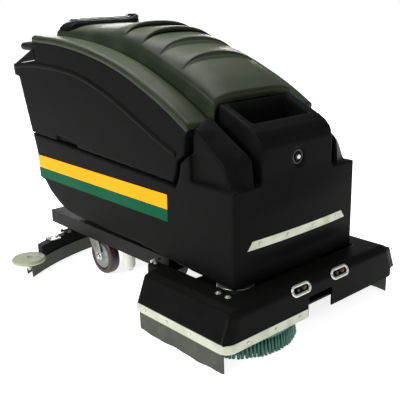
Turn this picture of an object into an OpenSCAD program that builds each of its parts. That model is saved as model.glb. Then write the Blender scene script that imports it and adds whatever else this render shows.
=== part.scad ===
// Walk-behind automatic floor scrubber with a twin-disc deck.
// +X is forward, +Y is the machine's left, +Z is up. The origin is on the floor,
// below the middle of the whole machine's length and width.

/* [Tanks] */
// Width of the tanks across the machine
body_w = 624; // [616:2:626]
// Wall thickness of the moulded tanks
wall = 8; // [6:1:9]
// Width of the raised middle of the lid
crown_w = 380; // [360:4:384]
// Width of the nose between the two humps
nose_w = 360; // [340:4:364]

/* [Brush deck] */
// Width over the deck's guards
deck_w = 908; // [904:2:912]
// Diameter of each brush
brush_d = 432; // [426:2:434]
// Distance from the middle of the machine to a brush's centre
brush_y = 203; // [201:1:206]
// How far the left brush is set behind the right one
brush_stagger = 170; // [168:1:172]

/* [Wheels] */
// Diameter of the rear caster wheels
caster_d = 160; // [150:2:160]
// Distance from the middle of the machine to a caster's swivel
caster_y = 235; // [232:1:240]
// Diameter of the drive wheels
drive_d = 220; // [214:2:220]

/* [Squeegee] */
// Distance from the middle to each bumper wheel's pin
squeegee_y = 495; // [490:1:500]
// Diameter of the bumper wheels
bumper_d = 142; // [130:2:142]

/* [Handle] */
// Diameter of the handlebar
bar_d = 32; // [28:1:34]

/* [Hidden] */
$fn = 48;

eps = 0.5;
fit = 0.05;                  // radial clearance of a running fit
front_x = 640;               // from the origin to the tanks' front plane
hw = body_w / 2;
deck_hw = deck_w / 2;

// Chassis
rail_z = 172;
rail_h = 56;
rail_y0 = 215;
rail_y1 = 300;
frame_rear = -1190;
frame_front = -350;

// Transaxle and casters
drive_x = -610;
axle_r = 12;
caster_x = -912;
caster_trail = 42;
caster_axle_r = 8;
caster_w = 45;
fork_crown_z = 165;

// Deck
deck_face = 110;             // front face of the deck, ahead of the tanks
deck_rear = -345;
deck_rear_left = -515;
deck_top = 212;
deck_rim = 77;
deck_plate_z = 112;
brush_x = -104;
shaft_r = 10;
motor_r = 65;
actuator_x = -180;
rod_r = 9;
corner_r = 34.7;
ring_y = 104;
ring_z = 215;

// Tilting tank
hinge_y = hw + 8;
hinge_z = 540;
lid_pin_x = -1198;
lid_pin_z = 973;
lid_pin_r = 3;
lid_barrel_r = 7;
dome_pin_y = 168;
dome_pin_z = 1054;

// Console
panel_tilt = 7.8;
panel_x = -1290;
panel_z = 882;
panel_t = 4;

// Squeegee
arm_pin_x = -900;
arm_pin_z = 134;
arm_pin_r = 8;
swing_x = -1150;
squeegee_r = 1000;
squeegee_apex = -1200;

// ---------- helpers ----------

// Places its children behind the tanks' front plane.
module from_front() translate([front_x, 0, 0]) children();

// Extrudes a side outline, drawn as [x, z], from y0 to y1.
module slab(y0, y1) rotate([90, 0, 0]) translate([0, 0, -y1]) linear_extrude(y1 - y0) children();

// Extrudes a front outline, drawn as [y, z], from x0 to x1.
module bar(x0, x1) translate([x0, 0, 0]) rotate([90, 0, 90]) linear_extrude(x1 - x0) children();

// Repeats its children on the right-hand side.
module both_sides() {
    children();
    mirror([0, 1, 0]) children();
}

// A box between two corners.
module block(a, b) translate(a) cube(b - a);

// A cylinder along Y between y0 and y1.
module rod_y(r, y0, y1) rotate([90, 0, 0]) translate([0, 0, -y1]) cylinder(r = r, h = y1 - y0);

// A cylinder along X between x0 and x1.
module rod_x(r, x0, x1) translate([x0, 0, 0]) rotate([0, 90, 0]) cylinder(r = r, h = x1 - x0);

// Puts its children on the sloping console panel, with +Z away from it.
module on_panel(x, y) translate([panel_x, 0, panel_z]) rotate([0, -panel_tilt, 0])
    translate([x, y, 0]) children();

// ---------- side outlines, as [x, z] ----------

hull_rear = [[-944, 252], [-1040, 261], [-1103, 289], [-1166, 326], [-1203, 365], [-1240, 372],
    [-1251, 491], [-1276, 572]];
hull_seam = [[-310, 519], [-284, 510], [-262, 562], [-254, 604], [-216, 632], [-212, 640]];
ledge = [[-183, 579], [-120, 550], [-60, 546], [0, 546]];
hull_outline = concat([[0, 214], [-224, 225], [-513, 246]], hull_rear, hull_seam, ledge);
hump_outline = [[-212, 500], [-212, 640], [-203, 722], [-62, 628], [-22, 596], [-6, 546], [-6, 500]];
nose_outline = [[-212, 500], [-212, 640], [-206, 690], [-203, 793], [-60, 730], [-30, 714],
    [-9, 694], [0, 664], [0, 500]];
water_outline = [[-12, 406], [-385, 406], [-385, 508], [-300, 506], [-270, 500], [-250, 536],
    [-12, 536]];
rear_water_outline = [[-1016, 275], [-1040, 275], [-1098, 302], [-1158, 338], [-1196, 378],
    [-1228, 384], [-1240, 491], [-1262, 555], [-1016, 540]];

lid_line = [[-1190, 990], [-972, 979], [-759, 950], [-571, 903], [-401, 836], [-296, 785],
    [-212, 736]];
lid_t = 16;
crown_line = [[-1188, 1008], [-1090, 1008], [-1070, 1024], [-884, 1026], [-715, 1014], [-605, 988],
    [-500, 950], [-378, 900], [-214, 818]];
tank_seam = [[-219, 700], [-225, 692], [-232, 636], [-270, 609], [-278, 567], [-298, 522],
    [-303, 528]];

// A line of points shifted by a distance up.
function raised(line, d) = [for (p = line) [p[0], p[1] + d]];

// The same line from its other end.
function reversed(line) = [for (i = [len(line) - 1 : -1 : 0]) line[i]];

tank_outline = concat(raised(lid_line, -lid_t - 1.5), tank_seam,
    [[-1277, 575], [-1351, 815], [-1388, 817], [-1396, 865], [-1196, 892]]);
tank_inside = [[-1182, 592], [-1182, 955], [-972, 945], [-759, 915], [-571, 868], [-401, 800],
    [-296, 750], [-236, 712], [-242, 650], [-282, 614], [-290, 592]];
lid_outline = concat(lid_line, reversed(raised(lid_line, -lid_t)));
crown_outline = concat(crown_line, reversed(raised(lid_line, -lid_t)));
crown_inside = concat(raised(crown_line, -8), [[-222, 700], [-1180, 700]]);

// ---------- chassis ----------

module chassis_frame() color("#1c1d1b") from_front() difference() {
    union() {
        both_sides() block([frame_rear, rail_y0, rail_z], [frame_front, rail_y1, rail_z + rail_h]);
        block([frame_rear, -rail_y0, 204], [frame_rear + 45, rail_y0, rail_z + rail_h]);
        for (x = [arm_pin_x, frame_front - 30])
            block([x - 25, -rail_y0, 192], [x + 25, rail_y0, rail_z + rail_h]);
        block([drive_x - 25, -rail_y0, drive_d + 2], [drive_x + 25, rail_y0, rail_z + rail_h]);
        block([drive_x - 25, -60, 192], [drive_x + 25, 60, rail_z + rail_h]);
        both_sides() block([frame_front - 20, 40, 178], [-20, 90, 224]);
        block([actuator_x - 30, -40, 200], [actuator_x + 30, 40, 224]);
        both_sides() block([arm_pin_x - 16, 70, 112], [arm_pin_x + 16, 80, 192]);
        translate([arm_pin_x, 0, arm_pin_z]) rod_y(arm_pin_r, -80, 80);
    }
    both_sides() translate([caster_x, caster_y, rail_z - eps])
        cylinder(r = caster_axle_r + fit, h = rail_h);
    translate([actuator_x, 0, 190]) cylinder(r = 22, h = 50);
}

module tunnel() block([-375, -hw + 2 * wall, 200], [-12, hw - 2 * wall, 398]);

module solution_tank() color("#1d1e1b") from_front() difference() {
    union() {
        slab(-hw, hw) polygon(hull_outline);
        slab(-nose_w / 2, nose_w / 2) polygon(nose_outline);
        both_sides() slab(nose_w / 2 + 30, hw - 22) polygon(hump_outline);
    }
    tunnel();
    block([-1000, -280, 264], [-398, 280, 620]);
    slab(-hw + wall, hw - wall) polygon(water_outline);
    slab(-hw + wall, hw - wall) polygon(rear_water_outline);
    both_sides() translate([0, 296, 440]) rod_x(8, -1030, -370);
    block([-196, -nose_w / 2 + wall, 530], [-12, nose_w / 2 - wall, 640]);
    block([-190, -142, 652], [-76, 142, 830]);
    translate([-120, 95, 630]) cylinder(r = 32, h = 40);
    translate([-8, 0, 612]) rod_x(34, 0, 20);
    translate([-60, 0, 612]) rod_x(6, 0, 60);
}

module stripe(z0, z1) both_sides() slab(hw, hw + 1.2)
    polygon([[-331, z0], [-331, z1], [-1238, z1], [-1236, z0]]);

module orange_stripe() color("#f5a11f") from_front() stripe(422.2, 477);

module green_stripe() color("#0b6b4a") from_front() stripe(377, 422);

module front_strip() color("#c2c7b6") from_front() bar(0, 4)
    polygon([[-256, 340], [256, 340], [233, 370], [-233, 370]]);

module front_strip_screws() color("#8d9086") from_front() for (y = [-200, -68, 68, 200])
    translate([4, y, 355]) rod_x(6, 0, 3);

// ---------- power ----------

battery_l = 290;
battery_w = 178;
battery_h = 262;

module battery_spots() for (i = [0, 1], j = [-1, 0, 1])
    translate([-992 + i * (battery_l + 4), (j - 0.5) * (battery_w + 5) + 2, 274]) children();

module battery_tray() color("#2b2d2a") from_front() difference() {
    block([-996, -276, 264], [-400, 276, 286]);
    block([-993, -273, 270], [-403, 273, 300]);
}

module batteries() color("#3a3b3c") from_front() battery_spots()
    cube([battery_l, battery_w, battery_h]);

module battery_links() color("#b0552b") from_front() {
    battery_spots() for (x = [40, battery_l - 40]) translate([x, battery_w / 2, battery_h])
        cylinder(r = 9, h = 14);
    for (i = [0, 1], x = [40, battery_l - 40]) for (j = [-1, 0])
        translate([-992 + i * (battery_l + 4) + x - 9, j * (battery_w + 5), 274 + battery_h + 14])
            cube([18, battery_w + 5, 5]);
}

module motor_controller() color("#6f7376") from_front()
    block([-545, -68, 182], [-407, 68, 226]);

module transaxle() color("#4a4d4f") from_front() {
    block([drive_x - 40, -60, 62], [drive_x + 40, 60, 160]);
    block([drive_x - 24, -40, 160], [drive_x + 24, 40, 192]);
    translate([0, 0, drive_d / 2]) rod_x(50, drive_x - 215, drive_x - 40);
    translate([drive_x, 0, drive_d / 2]) rod_y(axle_r, -140, 140);
}

module disc_wheel(r, w, hub_r, bore) rotate([90, 0, 0]) difference() {
    rotate_extrude($fn = 72) polygon([[bore, -w / 2 - 3], [hub_r * 0.5, -w / 2 - 3],
        [hub_r * 0.5, -w / 2 + 6], [hub_r, -w / 2 + 6], [hub_r, -w / 2], [r - 6, -w / 2],
        [r, -w / 2 + 8], [r, w / 2 - 8], [r - 6, w / 2], [hub_r, w / 2], [hub_r, w / 2 - 6],
        [hub_r * 0.5, w / 2 - 6], [hub_r * 0.5, w / 2 + 3], [bore, w / 2 + 3]]);
}

module drive_wheel(side) color("#23241f") from_front()
    translate([drive_x, side * 104, drive_d / 2]) disc_wheel(drive_d / 2, 60, 66, axle_r + fit);

module drive_wheel_left() drive_wheel(1);

module drive_wheel_right() drive_wheel(-1);

// ---------- solution system ----------

module solenoid_valve() color("#9a8a58") from_front() {
    block([-520, -214.5, 184], [-478, -172, 206]);
    translate([-499, -193, 206]) cylinder(r = 16, h = 18);
}

module solution_filter() color("#e4e6dc") from_front() translate([-710, -224, 0]) {
    translate([0, 0, 140]) cylinder(r = 30, h = 30);
    block([-20, 0, 168], [20, 30, 172]);
    translate([0, 0, 62]) cylinder(r = 25, h = 78);
    translate([0, 0, 54]) cylinder(r = 12, h = 8);
}

module fill_cap() color("#20211f") from_front() translate([-120, 95, 0]) {
    translate([0, 0, 653]) cylinder(r = 38, h = 22);
    translate([0, 0, 632]) cylinder(r = 31, h = 22);
    block([-30, -4, 674], [30, 4, 688]);
}

module exhaust_elbow() color("#2a2b29") from_front() translate([-120, 20, 652]) {
    cylinder(r = 20, h = 34);
    translate([0, 0, 34]) rod_y(20, -28, 0);
}

// ---------- latch and tank hinge ----------

module nose_latch() color("#a9aca3") from_front() translate([0, 0, 612]) {
    rod_x(6 - fit, -58, -8);
    rod_x(13, -8, 3);
    block([-2, -5, -22], [8, 5, 22]);
}

module tank_hinge() color("#7d8078") from_front() for (x = [-950, -620]) {
    block([x, hw, 486], [x + 150, hw + 4, 530]);
    translate([0, hinge_y, hinge_z]) rod_x(3, x, x + 149);
    for (i = [0, 2, 4]) {
        translate([0, hinge_y, hinge_z]) rod_x(7, x + i * 30, x + i * 30 + 29);
        block([x + i * 30, hw + 1, 526], [x + i * 30 + 29, hw + 7, 536]);
    }
}

module tank_hinge_leaf() color("#7d8078") from_front() for (x = [-950, -620]) difference() {
    union() {
        block([x + 30, hw + 0.3, 582], [x + 119, hw + 4, 620]);
        for (i = [1, 3]) {
            translate([0, hinge_y, hinge_z]) rod_x(7, x + i * 30 + 0.5, x + i * 30 + 28.5);
            block([x + i * 30 + 0.5, hw + 3, 544], [x + i * 30 + 28.5, hw + 7, 584]);
        }
    }
    translate([0, hinge_y, hinge_z]) rod_x(3 + fit, x, x + 150);
}

// ---------- recovery tank ----------

module recovery_tank() color("#1b1c1a") from_front() difference() {
    slab(-hw, hw) polygon(tank_outline);
    slab(-hw + wall, hw - wall) polygon(tank_inside);
    slab(-hw + 20, hw - 20) polygon([[-1006, 560], [-1006, 582], [-392, 582], [-392, 500]]);
    slab(-crown_w / 2 + wall, crown_w / 2 - wall)
        polygon(concat(raised(lid_line, 20), [[-236, 712], [-1182, 712]]));
    slab(-hw + 16, hw - 16) polygon([[-1284, 640], [-1206, 640], [-1206, 900], [-1380, 880],
        [-1380, 862], [-1340, 810]]);
    translate([0, 180, 700]) rod_x(17, -1350, -1170);
    slab(-hw - 5, -hw + 14) polygon([[-1066, 540], [-906, 540], [-906, 577], [-1066, 586]]);
}

module vacuum_motor() color("#54575a") from_front() translate([-1090, -150, 592]) {
    cylinder(r = 72, h = 90);
    translate([0, 0, 90]) cylinder(r = 58, h = 80);
    translate([0, 0, 170]) cylinder(r = 30, h = 20);
}

module float_cage() color("#d7d9d0") from_front() translate([-1090, 150, 592]) {
    cylinder(r = 25, h = 230);
    translate([0, 0, 230]) cylinder(r = 40, h = 70);
}

module drain_port() color("#26272a") from_front() translate([0, 180, 700]) difference() {
    union() {
        rod_x(19, -1366, -1334);
        rod_x(25, -1334, -1325);
        rod_x(17, -1325, -1190);
    }
    rod_x(13, -1370, -1180);
}

// ---------- lid and dome ----------

module lid() color("#3d4236") from_front() difference() {
    union() {
        slab(-hw, hw) polygon(lid_outline);
        slab(-crown_w / 2, crown_w / 2) polygon(crown_outline);
        both_sides() for (y = [140, 180]) {
            translate([lid_pin_x, 0, lid_pin_z]) rod_y(lid_barrel_r, y + 0.5, y + 19.5);
            block([lid_pin_x, y + 0.5, lid_pin_z + 2], [-1188, y + 19.5, lid_pin_z + lid_barrel_r]);
        }
    }
    slab(-crown_w / 2 + wall, crown_w / 2 - wall) polygon(crown_inside);
    block([-1168, -132, 980], [-1110, 132, 1020]);
    translate([lid_pin_x, 0, lid_pin_z]) rod_y(lid_pin_r + fit, -270, 270);
}

module lid_hinge() color("#8e9189") from_front() both_sides() {
    block([-1198, 120, 925], [-1194.3, 220, 962]);
    for (y = [120, 160, 200]) {
        translate([lid_pin_x, 0, lid_pin_z]) rod_y(lid_barrel_r, y, y + 20);
        block([-1205, y, 955], [-1194.3, y + 20, lid_pin_z]);
    }
    translate([lid_pin_x, 0, lid_pin_z]) rod_y(lid_pin_r, 120, 220);
}

// Places its children at the dome's hinge pin.
module at_dome_pin() translate([0, dome_pin_y, dome_pin_z]) children();

module dome_rim() color("#151614") from_front() difference() {
    union() {
        block([-1186, -190, 1008.5], [-1092, 190, 1030]);
        block([-1183, -178, 1030], [-1095, 178, 1044]);
        block([-1164, 156, 1030], [-1114, 186, dome_pin_z]);
        at_dome_pin() rod_x(12, -1164, -1114);
    }
    block([-1168, -132, 1000], [-1110, 132, 1060]);
    at_dome_pin() rod_x(4 + fit, -1170, -1108);
}

module clear_dome() color("#dfe6e2") from_front() difference() {
    union() {
        block([-1176, -146, 1044.3], [-1102, 146, 1050]);
        block([-1166, -128, 1050], [-1112, 128, 1060]);
        for (x = [-1176, -1112]) {
            block([x, 140, 1045], [x + 10, dome_pin_y, 1062]);
            at_dome_pin() rod_x(9, x, x + 10);
        }
        at_dome_pin() rod_x(4, -1176, -1102);
    }
    block([-1162, -124, 1040], [-1116, 124, 1056]);
}

// ---------- console ----------

module console_panel() color("#2c2e2b") from_front() on_panel(0, 0) difference() {
    block([-84, -292, 6], [82, 292, 6 + panel_t]);
    for (p = [[20, 190, 8], [20, -60, 7], [20, -130, 7]])
        translate([p[0], p[1], -5]) cylinder(r = p[2] + fit, h = 30);
    for (y = [60, 110]) translate([20, y, -5]) block([-11, -17, 0], [11, 17, 30]);
    translate([20, -210, -5]) cylinder(r = 10 + fit, h = 30);
    block([0, 219, -5], [56, 231, 30]);
}

module console_cheeks() color("#1c1d1b") from_front() both_sides() slab(hw - 8, hw)
    polygon([[-1197, 893.5], [-1197, 938], [-1210, 938], [-1368, 872], [-1368, 869.8]]);

module charge_gauge() color("#3f5a4c") from_front() on_panel(20, 0) block([-18, -28, 10], [18, 28, 14]);

module key_switch() color("#b7bab2") from_front() on_panel(20, 190) {
    translate([0, 0, -4]) cylinder(r = 8, h = 18);
    block([-12, -2, 14], [12, 2, 40]);
}

module rocker(y) from_front() on_panel(20, y) {
    block([-9, -15, 2], [9, 15, 13]);
    translate([0, 0, 4]) rod_y(3, -15, 15);
}

module brush_switch() color("#31463f") rocker(60);

module vacuum_switch() color("#2e3b55") rocker(110);

module knob(y) from_front() on_panel(20, y) {
    translate([0, 0, -6]) cylinder(r = 7, h = 18);
    translate([0, 0, 11]) cylinder(r1 = 21, r2 = 18, h = 20);
    block([-2, -20, 31], [2, 0, 34]);
}

module speed_knob() color("#202120") knob(-60);

module solution_knob() color("#2b3d4a") knob(-130);

module stop_button() color("#b3261e") from_front() on_panel(20, -210) {
    translate([0, 0, -8]) cylinder(r = 10, h = 26);
    translate([0, 0, 18]) cylinder(r = 20, h = 12);
}

module squeegee_lever() color("#1e1f1e") from_front() on_panel(10, 225) {
    translate([0, 0, -14]) rod_y(6, -4, 4);
    translate([0, 0, -14]) cylinder(r = 4, h = 64);
    translate([0, 0, 52]) sphere(r = 13);
}

bar_x = -1350;
bar_z = 944;
bar_y = 284;
bend_r = 34;

module handlebar() color("#151615") from_front() translate([0, 0, bar_z]) {
    both_sides() {
        translate([0, bar_y, 0]) rod_x(bar_d / 2, bar_x + bend_r, -1200);
        translate([0, bar_y, 0]) rod_x(bar_d / 2 + 2, -1205, -1194.6);
        translate([bar_x + bend_r, bar_y - bend_r, 0]) rotate([0, 0, 90])
            rotate_extrude(angle = 90) translate([bend_r, 0]) circle(r = bar_d / 2);
    }
    translate([bar_x, 0, 0]) rod_y(bar_d / 2, -bar_y + bend_r, bar_y - bend_r);
}

module drive_paddle() color("#6b6e68") from_front() translate([bar_x, 0, bar_z]) difference() {
    union() {
        translate([-30, 0, -18]) rod_y(7, -198, 198);
        both_sides() rod_y(bar_d / 2 + 6, 190, 198);
        both_sides() block([-34, 190, -22], [-12, 198, -8]);
    }
    rod_y(bar_d / 2 + fit, -220, 220);
}

// ---------- brush deck ----------

module deck_actuator() color("#8b8e86") from_front() translate([actuator_x, 0, 0]) difference() {
    translate([0, 0, 196]) cylinder(r = 21.5, h = 150);
    translate([0, 0, 190]) cylinder(r = rod_r + fit, h = 150);
}

module deck_plate() color("#3b3e3a") from_front() difference() {
    union() {
        block([deck_rear + 8, -440, deck_plate_z], [deck_face - 12, 0, deck_plate_z + 8]);
        block([deck_rear_left + 30, -eps, deck_plate_z], [deck_face - 12, 440, deck_plate_z + 8]);
        translate([actuator_x, 0, deck_plate_z]) cylinder(r = rod_r, h = 160);
    }
    translate([brush_x, -brush_y, 100]) cylinder(r = 14, h = 40);
    translate([brush_x - brush_stagger, brush_y, 100]) cylinder(r = 14, h = 40);
}

// Cross-section of a side guard on the left, as [y, z].
guard_out = [[hw + 6, 120.3], [hw + 6, deck_top], [392, deck_top], [418, 200], [deck_hw, 112],
    [deck_hw, deck_rim]];
guard_in = [[deck_hw - 6, deck_rim], [deck_hw - 6, 112], [414, 192], [390, deck_top - 6],
    [hw + 12, deck_top - 6], [hw + 12, 120.3]];

module side_guard(rear) bar(rear, deck_face - 6) polygon(concat(guard_out, guard_in));

// Where each front corner of the deck bends, below the sloping part of the guards.
module corner_bend(z) both_sides() intersection() {
    translate([deck_face - 35, deck_hw - 35, z]) children();
    block([deck_face - 35, deck_hw - 35, 0], [deck_face + 20, deck_hw + 20, 130]);
}

module deck_cover() color("#2a2c28") from_front() difference() {
    union() {
        side_guard(deck_rear_left);
        mirror([0, 1, 0]) side_guard(deck_rear);
        block([8, -hw - 7, 195], [deck_face, hw + 7, deck_top]);
        both_sides() bar(deck_face - 6, deck_face) polygon([[-eps, deck_rim], [-eps, deck_top],
            [392, deck_top], [418, 200], [deck_hw, 112], [deck_hw, deck_rim]]);
        block([8, -hw - 7, 120.3], [14, hw + 7, deck_top]);
        block([-400, -360, 160], [deck_rear + eps, -hw - 6, deck_top]);
        corner_bend(deck_rim) cylinder(r = corner_r, h = 33);
    }
    corner_bend(deck_rim - 5) difference() {
        block([0, 0, 0], [50, 50, 38.5]);
        translate([0, 0, -1]) cylinder(r = corner_r, h = 50);
    }
    corner_bend(deck_rim - 5) cylinder(r = corner_r - 6, h = 38);
    block([14, -hw - 14, 90], [deck_face - 6, hw + 14, deck_top - 6]);
    block([deck_face - 10, -62, 60], [deck_face + 5, 62, 150]);
    both_sides() block([deck_face - 10, ring_y - 28, ring_z - 32],
        [deck_face + 5, ring_y + 28, ring_z - 12]);
}

module guard_strip() color("#c5cab8") from_front() {
    block([deck_rear, -deck_hw - 3, deck_rim], [deck_face - 35, -deck_hw, 109]);
    block([deck_face, -deck_hw + 35, deck_rim], [deck_face + 3, -70, 109]);
    translate([deck_face - 35, -deck_hw + 35, deck_rim]) difference() {
        cylinder(r = 38, h = 32);
        translate([0, 0, -1]) cylinder(r = 35, h = 34);
        block([-50, -50, -1], [0, 50, 34]);
        block([-50, 0, -1], [50, 50, 34]);
    }
}

module side_skirts() color("#3d433c") from_front() {
    block([deck_rear_left, deck_hw - 12, 1.5], [deck_face - 37, deck_hw - 6.2, 100]);
    block([deck_rear, -deck_hw + 6.2, 1.5], [deck_face - 37, -deck_hw + 12, 100]);
}

module tie_down_rings() color("#c9ccc4") from_front() both_sides()
    translate([deck_face, ring_y, ring_z - 22]) {
        difference() {
            block([0, -42, -20], [5, 42, 20]);
            block([-1, -28, -10], [6, 28, 10]);
        }
        translate([-6, 18, 0]) rod_x(10, 0, 10);
    }

module deck_fasteners() color("#b9bcb3") from_front() {
    for (x = [-34, 11]) translate([x, -350, deck_top]) cylinder(r = 8, h = 6);
    translate([-378, -340, deck_top]) cylinder(r = 5, h = 14);
    translate([-378, -340, deck_top + 14]) rod_y(5, -20, 20);
    for (x = [-300, -180, -60]) translate([x, 0, 93]) rod_y(5, -deck_hw - 6, -deck_hw - 3);
    for (y = [-360, -230, -110]) translate([0, y, 93]) rod_x(5, deck_face + 3, deck_face + 6);
}

module brush_motor(x, y) color("#44484b") from_front() translate([x, y, deck_plate_z + 8])
    difference() {
        union() {
            cylinder(r = motor_r, h = 70);
            translate([0, 0, 70]) cylinder(r = motor_r - 10, h = 110);
            translate([0, 0, 180]) cylinder(r = 24, h = 12);
        }
        translate([0, 0, -1]) cylinder(r = shaft_r + fit, h = 40);
    }

module brush_motor_left() brush_motor(brush_x - brush_stagger, brush_y);

module brush_motor_right() brush_motor(brush_x, -brush_y);

module brush(x, y) color("#2f7d6b") from_front() translate([x, y, 0]) {
    translate([0, 0, 78]) cylinder(r = shaft_r, h = 70);
    translate([0, 0, 76]) cylinder(r = 60, h = 22);
    translate([0, 0, 58]) cylinder(r = brush_d / 2 - 12, h = 20);
    translate([0, 0, 1]) difference() {
        cylinder(r1 = brush_d / 2, r2 = brush_d / 2 - 14, h = 58, $fn = 72);
        translate([0, 0, -1]) cylinder(r = 70, h = 52);
    }
}

module brush_left() brush(brush_x - brush_stagger, brush_y);

module brush_right() brush(brush_x, -brush_y);

// ---------- squeegee ----------

module squeegee_arm() color("#b8bbb0") from_front() difference() {
    union() {
        both_sides() block([-1162, 50, 120], [arm_pin_x, 62, 146]);
        both_sides() translate([arm_pin_x, 0, arm_pin_z]) rod_y(16, 48, 66);
        block([swing_x - 24, -62, 126], [swing_x + 24, 62, 146]);
    }
    translate([arm_pin_x, 0, arm_pin_z]) rod_y(arm_pin_r + fit, -90, 90);
    translate([swing_x, 0, 100]) cylinder(r = 10 + fit, h = 60);
}

// A band of the squeegee's curve between two radii, out to y on both sides.
module curve(r0, r1, z0, z1, y) intersection() {
    translate([squeegee_apex + squeegee_r, 0, z0]) difference() {
        cylinder(r = r1, h = z1 - z0, $fn = 180);
        translate([0, 0, -1]) cylinder(r = r0, h = z1 - z0 + 2, $fn = 180);
    }
    block([-1400, -y, z0 - 1], [-900, y, z1 + 1]);
}

bumper_x = squeegee_apex + squeegee_r - sqrt(pow(squeegee_r, 2) - pow(squeegee_y, 2));
bumper_z = 64;

module squeegee_body() color("#1b1c1a") from_front() {
    curve(982, 1018, 60, 108, 416);
    curve(982, 1018, 50, 60.5, squeegee_y + 10);
    both_sides() translate([bumper_x, squeegee_y, 50]) cylinder(r = 8, h = 36);
    block([swing_x - 45, -120, 100], [swing_x + 20, 120, 112]);
    translate([swing_x, 0, 108]) cylinder(r = 10, h = 40);
    both_sides() block([swing_x - 50, 150, 90], [swing_x - 4, 205, 140]);
}

module squeegee_blades() color("#4b4f45") from_front() {
    curve(976, 981.8, 1, 60, squeegee_y);
    curve(1018.2, 1024, 1, 60, squeegee_y);
}

module bumper_wheel(side) color("#8c9179") from_front()
    translate([bumper_x, side * squeegee_y, bumper_z]) rotate_extrude($fn = 72)
        polygon([[8 + fit, 0], [bumper_d / 2 - 14, 0], [bumper_d / 2, 8], [bumper_d / 2, 18],
            [bumper_d / 2 - 6, 22], [8 + fit, 22]]);

module bumper_wheel_left() bumper_wheel(1);

module bumper_wheel_right() bumper_wheel(-1);

// ---------- casters ----------

module caster_fork(side) color("#c9ccc6") from_front() translate([caster_x, side * caster_y, 0]) {
    translate([0, 0, fork_crown_z]) cylinder(r = 32, h = 5.5);
    translate([0, 0, fork_crown_z]) cylinder(r = caster_axle_r, h = 50);
    both_sides() slab(26, 31) polygon([[-30, fork_crown_z + 3], [26, fork_crown_z + 3],
        [caster_trail + 18, caster_d / 2], [caster_trail + 6, caster_d / 2 - 16],
        [caster_trail - 12, caster_d / 2 - 12]]);
    block([-28, -30, fork_crown_z], [26, 30, fork_crown_z + 5]);
    translate([caster_trail, 0, caster_d / 2]) rod_y(caster_axle_r, -34, 34);
}

module caster_wheel(side) color("#5c1f1b") from_front()
    translate([caster_x + caster_trail, side * caster_y, caster_d / 2])
        disc_wheel(caster_d / 2, caster_w, 52, caster_axle_r + fit);

module caster_fork_left() caster_fork(1);

module caster_fork_right() caster_fork(-1);

module caster_wheel_left() caster_wheel(1);

module caster_wheel_right() caster_wheel(-1);

// ---------- drawing ----------

chassis_frame();
solution_tank();
orange_stripe();
green_stripe();
front_strip();
front_strip_screws();
battery_tray();
batteries();
battery_links();
transaxle();
drive_wheel_left();
drive_wheel_right();
solenoid_valve();
solution_filter();
fill_cap();
exhaust_elbow();
nose_latch();
motor_controller();
tank_hinge();
tank_hinge_leaf();
recovery_tank();
vacuum_motor();
float_cage();
drain_port();
lid();
lid_hinge();
dome_rim();
clear_dome();
console_panel();
console_cheeks();
charge_gauge();
key_switch();
brush_switch();
vacuum_switch();
speed_knob();
solution_knob();
stop_button();
squeegee_lever();
handlebar();
drive_paddle();
deck_actuator();
deck_plate();
deck_cover();
guard_strip();
side_skirts();
tie_down_rings();
deck_fasteners();
brush_motor_left();
brush_motor_right();
brush_left();
brush_right();
squeegee_arm();
squeegee_body();
squeegee_blades();
bumper_wheel_left();
bumper_wheel_right();
caster_fork_left();
caster_fork_right();
caster_wheel_left();
caster_wheel_right();
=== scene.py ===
"""Looks of a walk-behind floor scrubber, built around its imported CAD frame.

Lengths are millimetres until a mesh is made. X runs forward and is 0 at the front
plane of the tanks, Y runs to the machine's left, and Z runs up from the floor.
"""

from __future__ import annotations

import logging
import math
import random
from dataclasses import dataclass
from enum import Enum
from typing import Any, Iterable, Sequence

import bmesh
import bpy
from mathutils import Matrix, Vector


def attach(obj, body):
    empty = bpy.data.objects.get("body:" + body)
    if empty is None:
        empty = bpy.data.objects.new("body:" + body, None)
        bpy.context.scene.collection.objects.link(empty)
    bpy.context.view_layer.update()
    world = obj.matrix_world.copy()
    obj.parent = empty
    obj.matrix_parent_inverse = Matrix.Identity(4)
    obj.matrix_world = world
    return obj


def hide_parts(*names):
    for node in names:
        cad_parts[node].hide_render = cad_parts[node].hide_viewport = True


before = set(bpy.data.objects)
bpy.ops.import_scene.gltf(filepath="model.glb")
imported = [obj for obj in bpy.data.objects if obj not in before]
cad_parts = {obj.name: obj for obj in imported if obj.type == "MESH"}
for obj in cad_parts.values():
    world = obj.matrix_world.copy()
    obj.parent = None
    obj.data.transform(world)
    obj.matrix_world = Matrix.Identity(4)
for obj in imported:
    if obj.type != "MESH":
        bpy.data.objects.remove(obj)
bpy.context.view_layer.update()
log = logging.getLogger("scrubber")

Point = tuple[float, float, float]
Flat = tuple[float, float]

MM = 0.001
FRONT_X = 640.0          # from the frame's origin forward to the tanks' front plane
TO_FRAME = Matrix.Translation((FRONT_X * MM, 0, 0)) @ Matrix.Scale(MM, 4)
TANK_HALF = 312.0        # half the width of the tanks
NOSE_HALF = 180.0        # half the width of the nose


# ---------- finishes ----------

class Grain(Enum):
    """How the fine texture of a surface runs."""

    PEEL = "orange peel of a moulded skin"
    BRUSHED = "long scratches along X"
    CAST = "pitted skin from a mould"
    SPANGLE = "patches of zinc crystals"
    STRANDS = "upright strands"


def linear(colour: str) -> tuple[float, float, float, float]:
    """Turns an sRGB hex colour to linear light.

    Args:
        colour: six hex digits after a hash.

    Returns:
        Red, green, blue and an alpha of 1.
    """
    values = [int(colour[i:i + 2], 16) / 255 for i in (1, 3, 5)]
    return (*(v / 12.92 if v <= 0.04045 else ((v + 0.055) / 1.055) ** 2.4 for v in values), 1.0)


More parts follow.
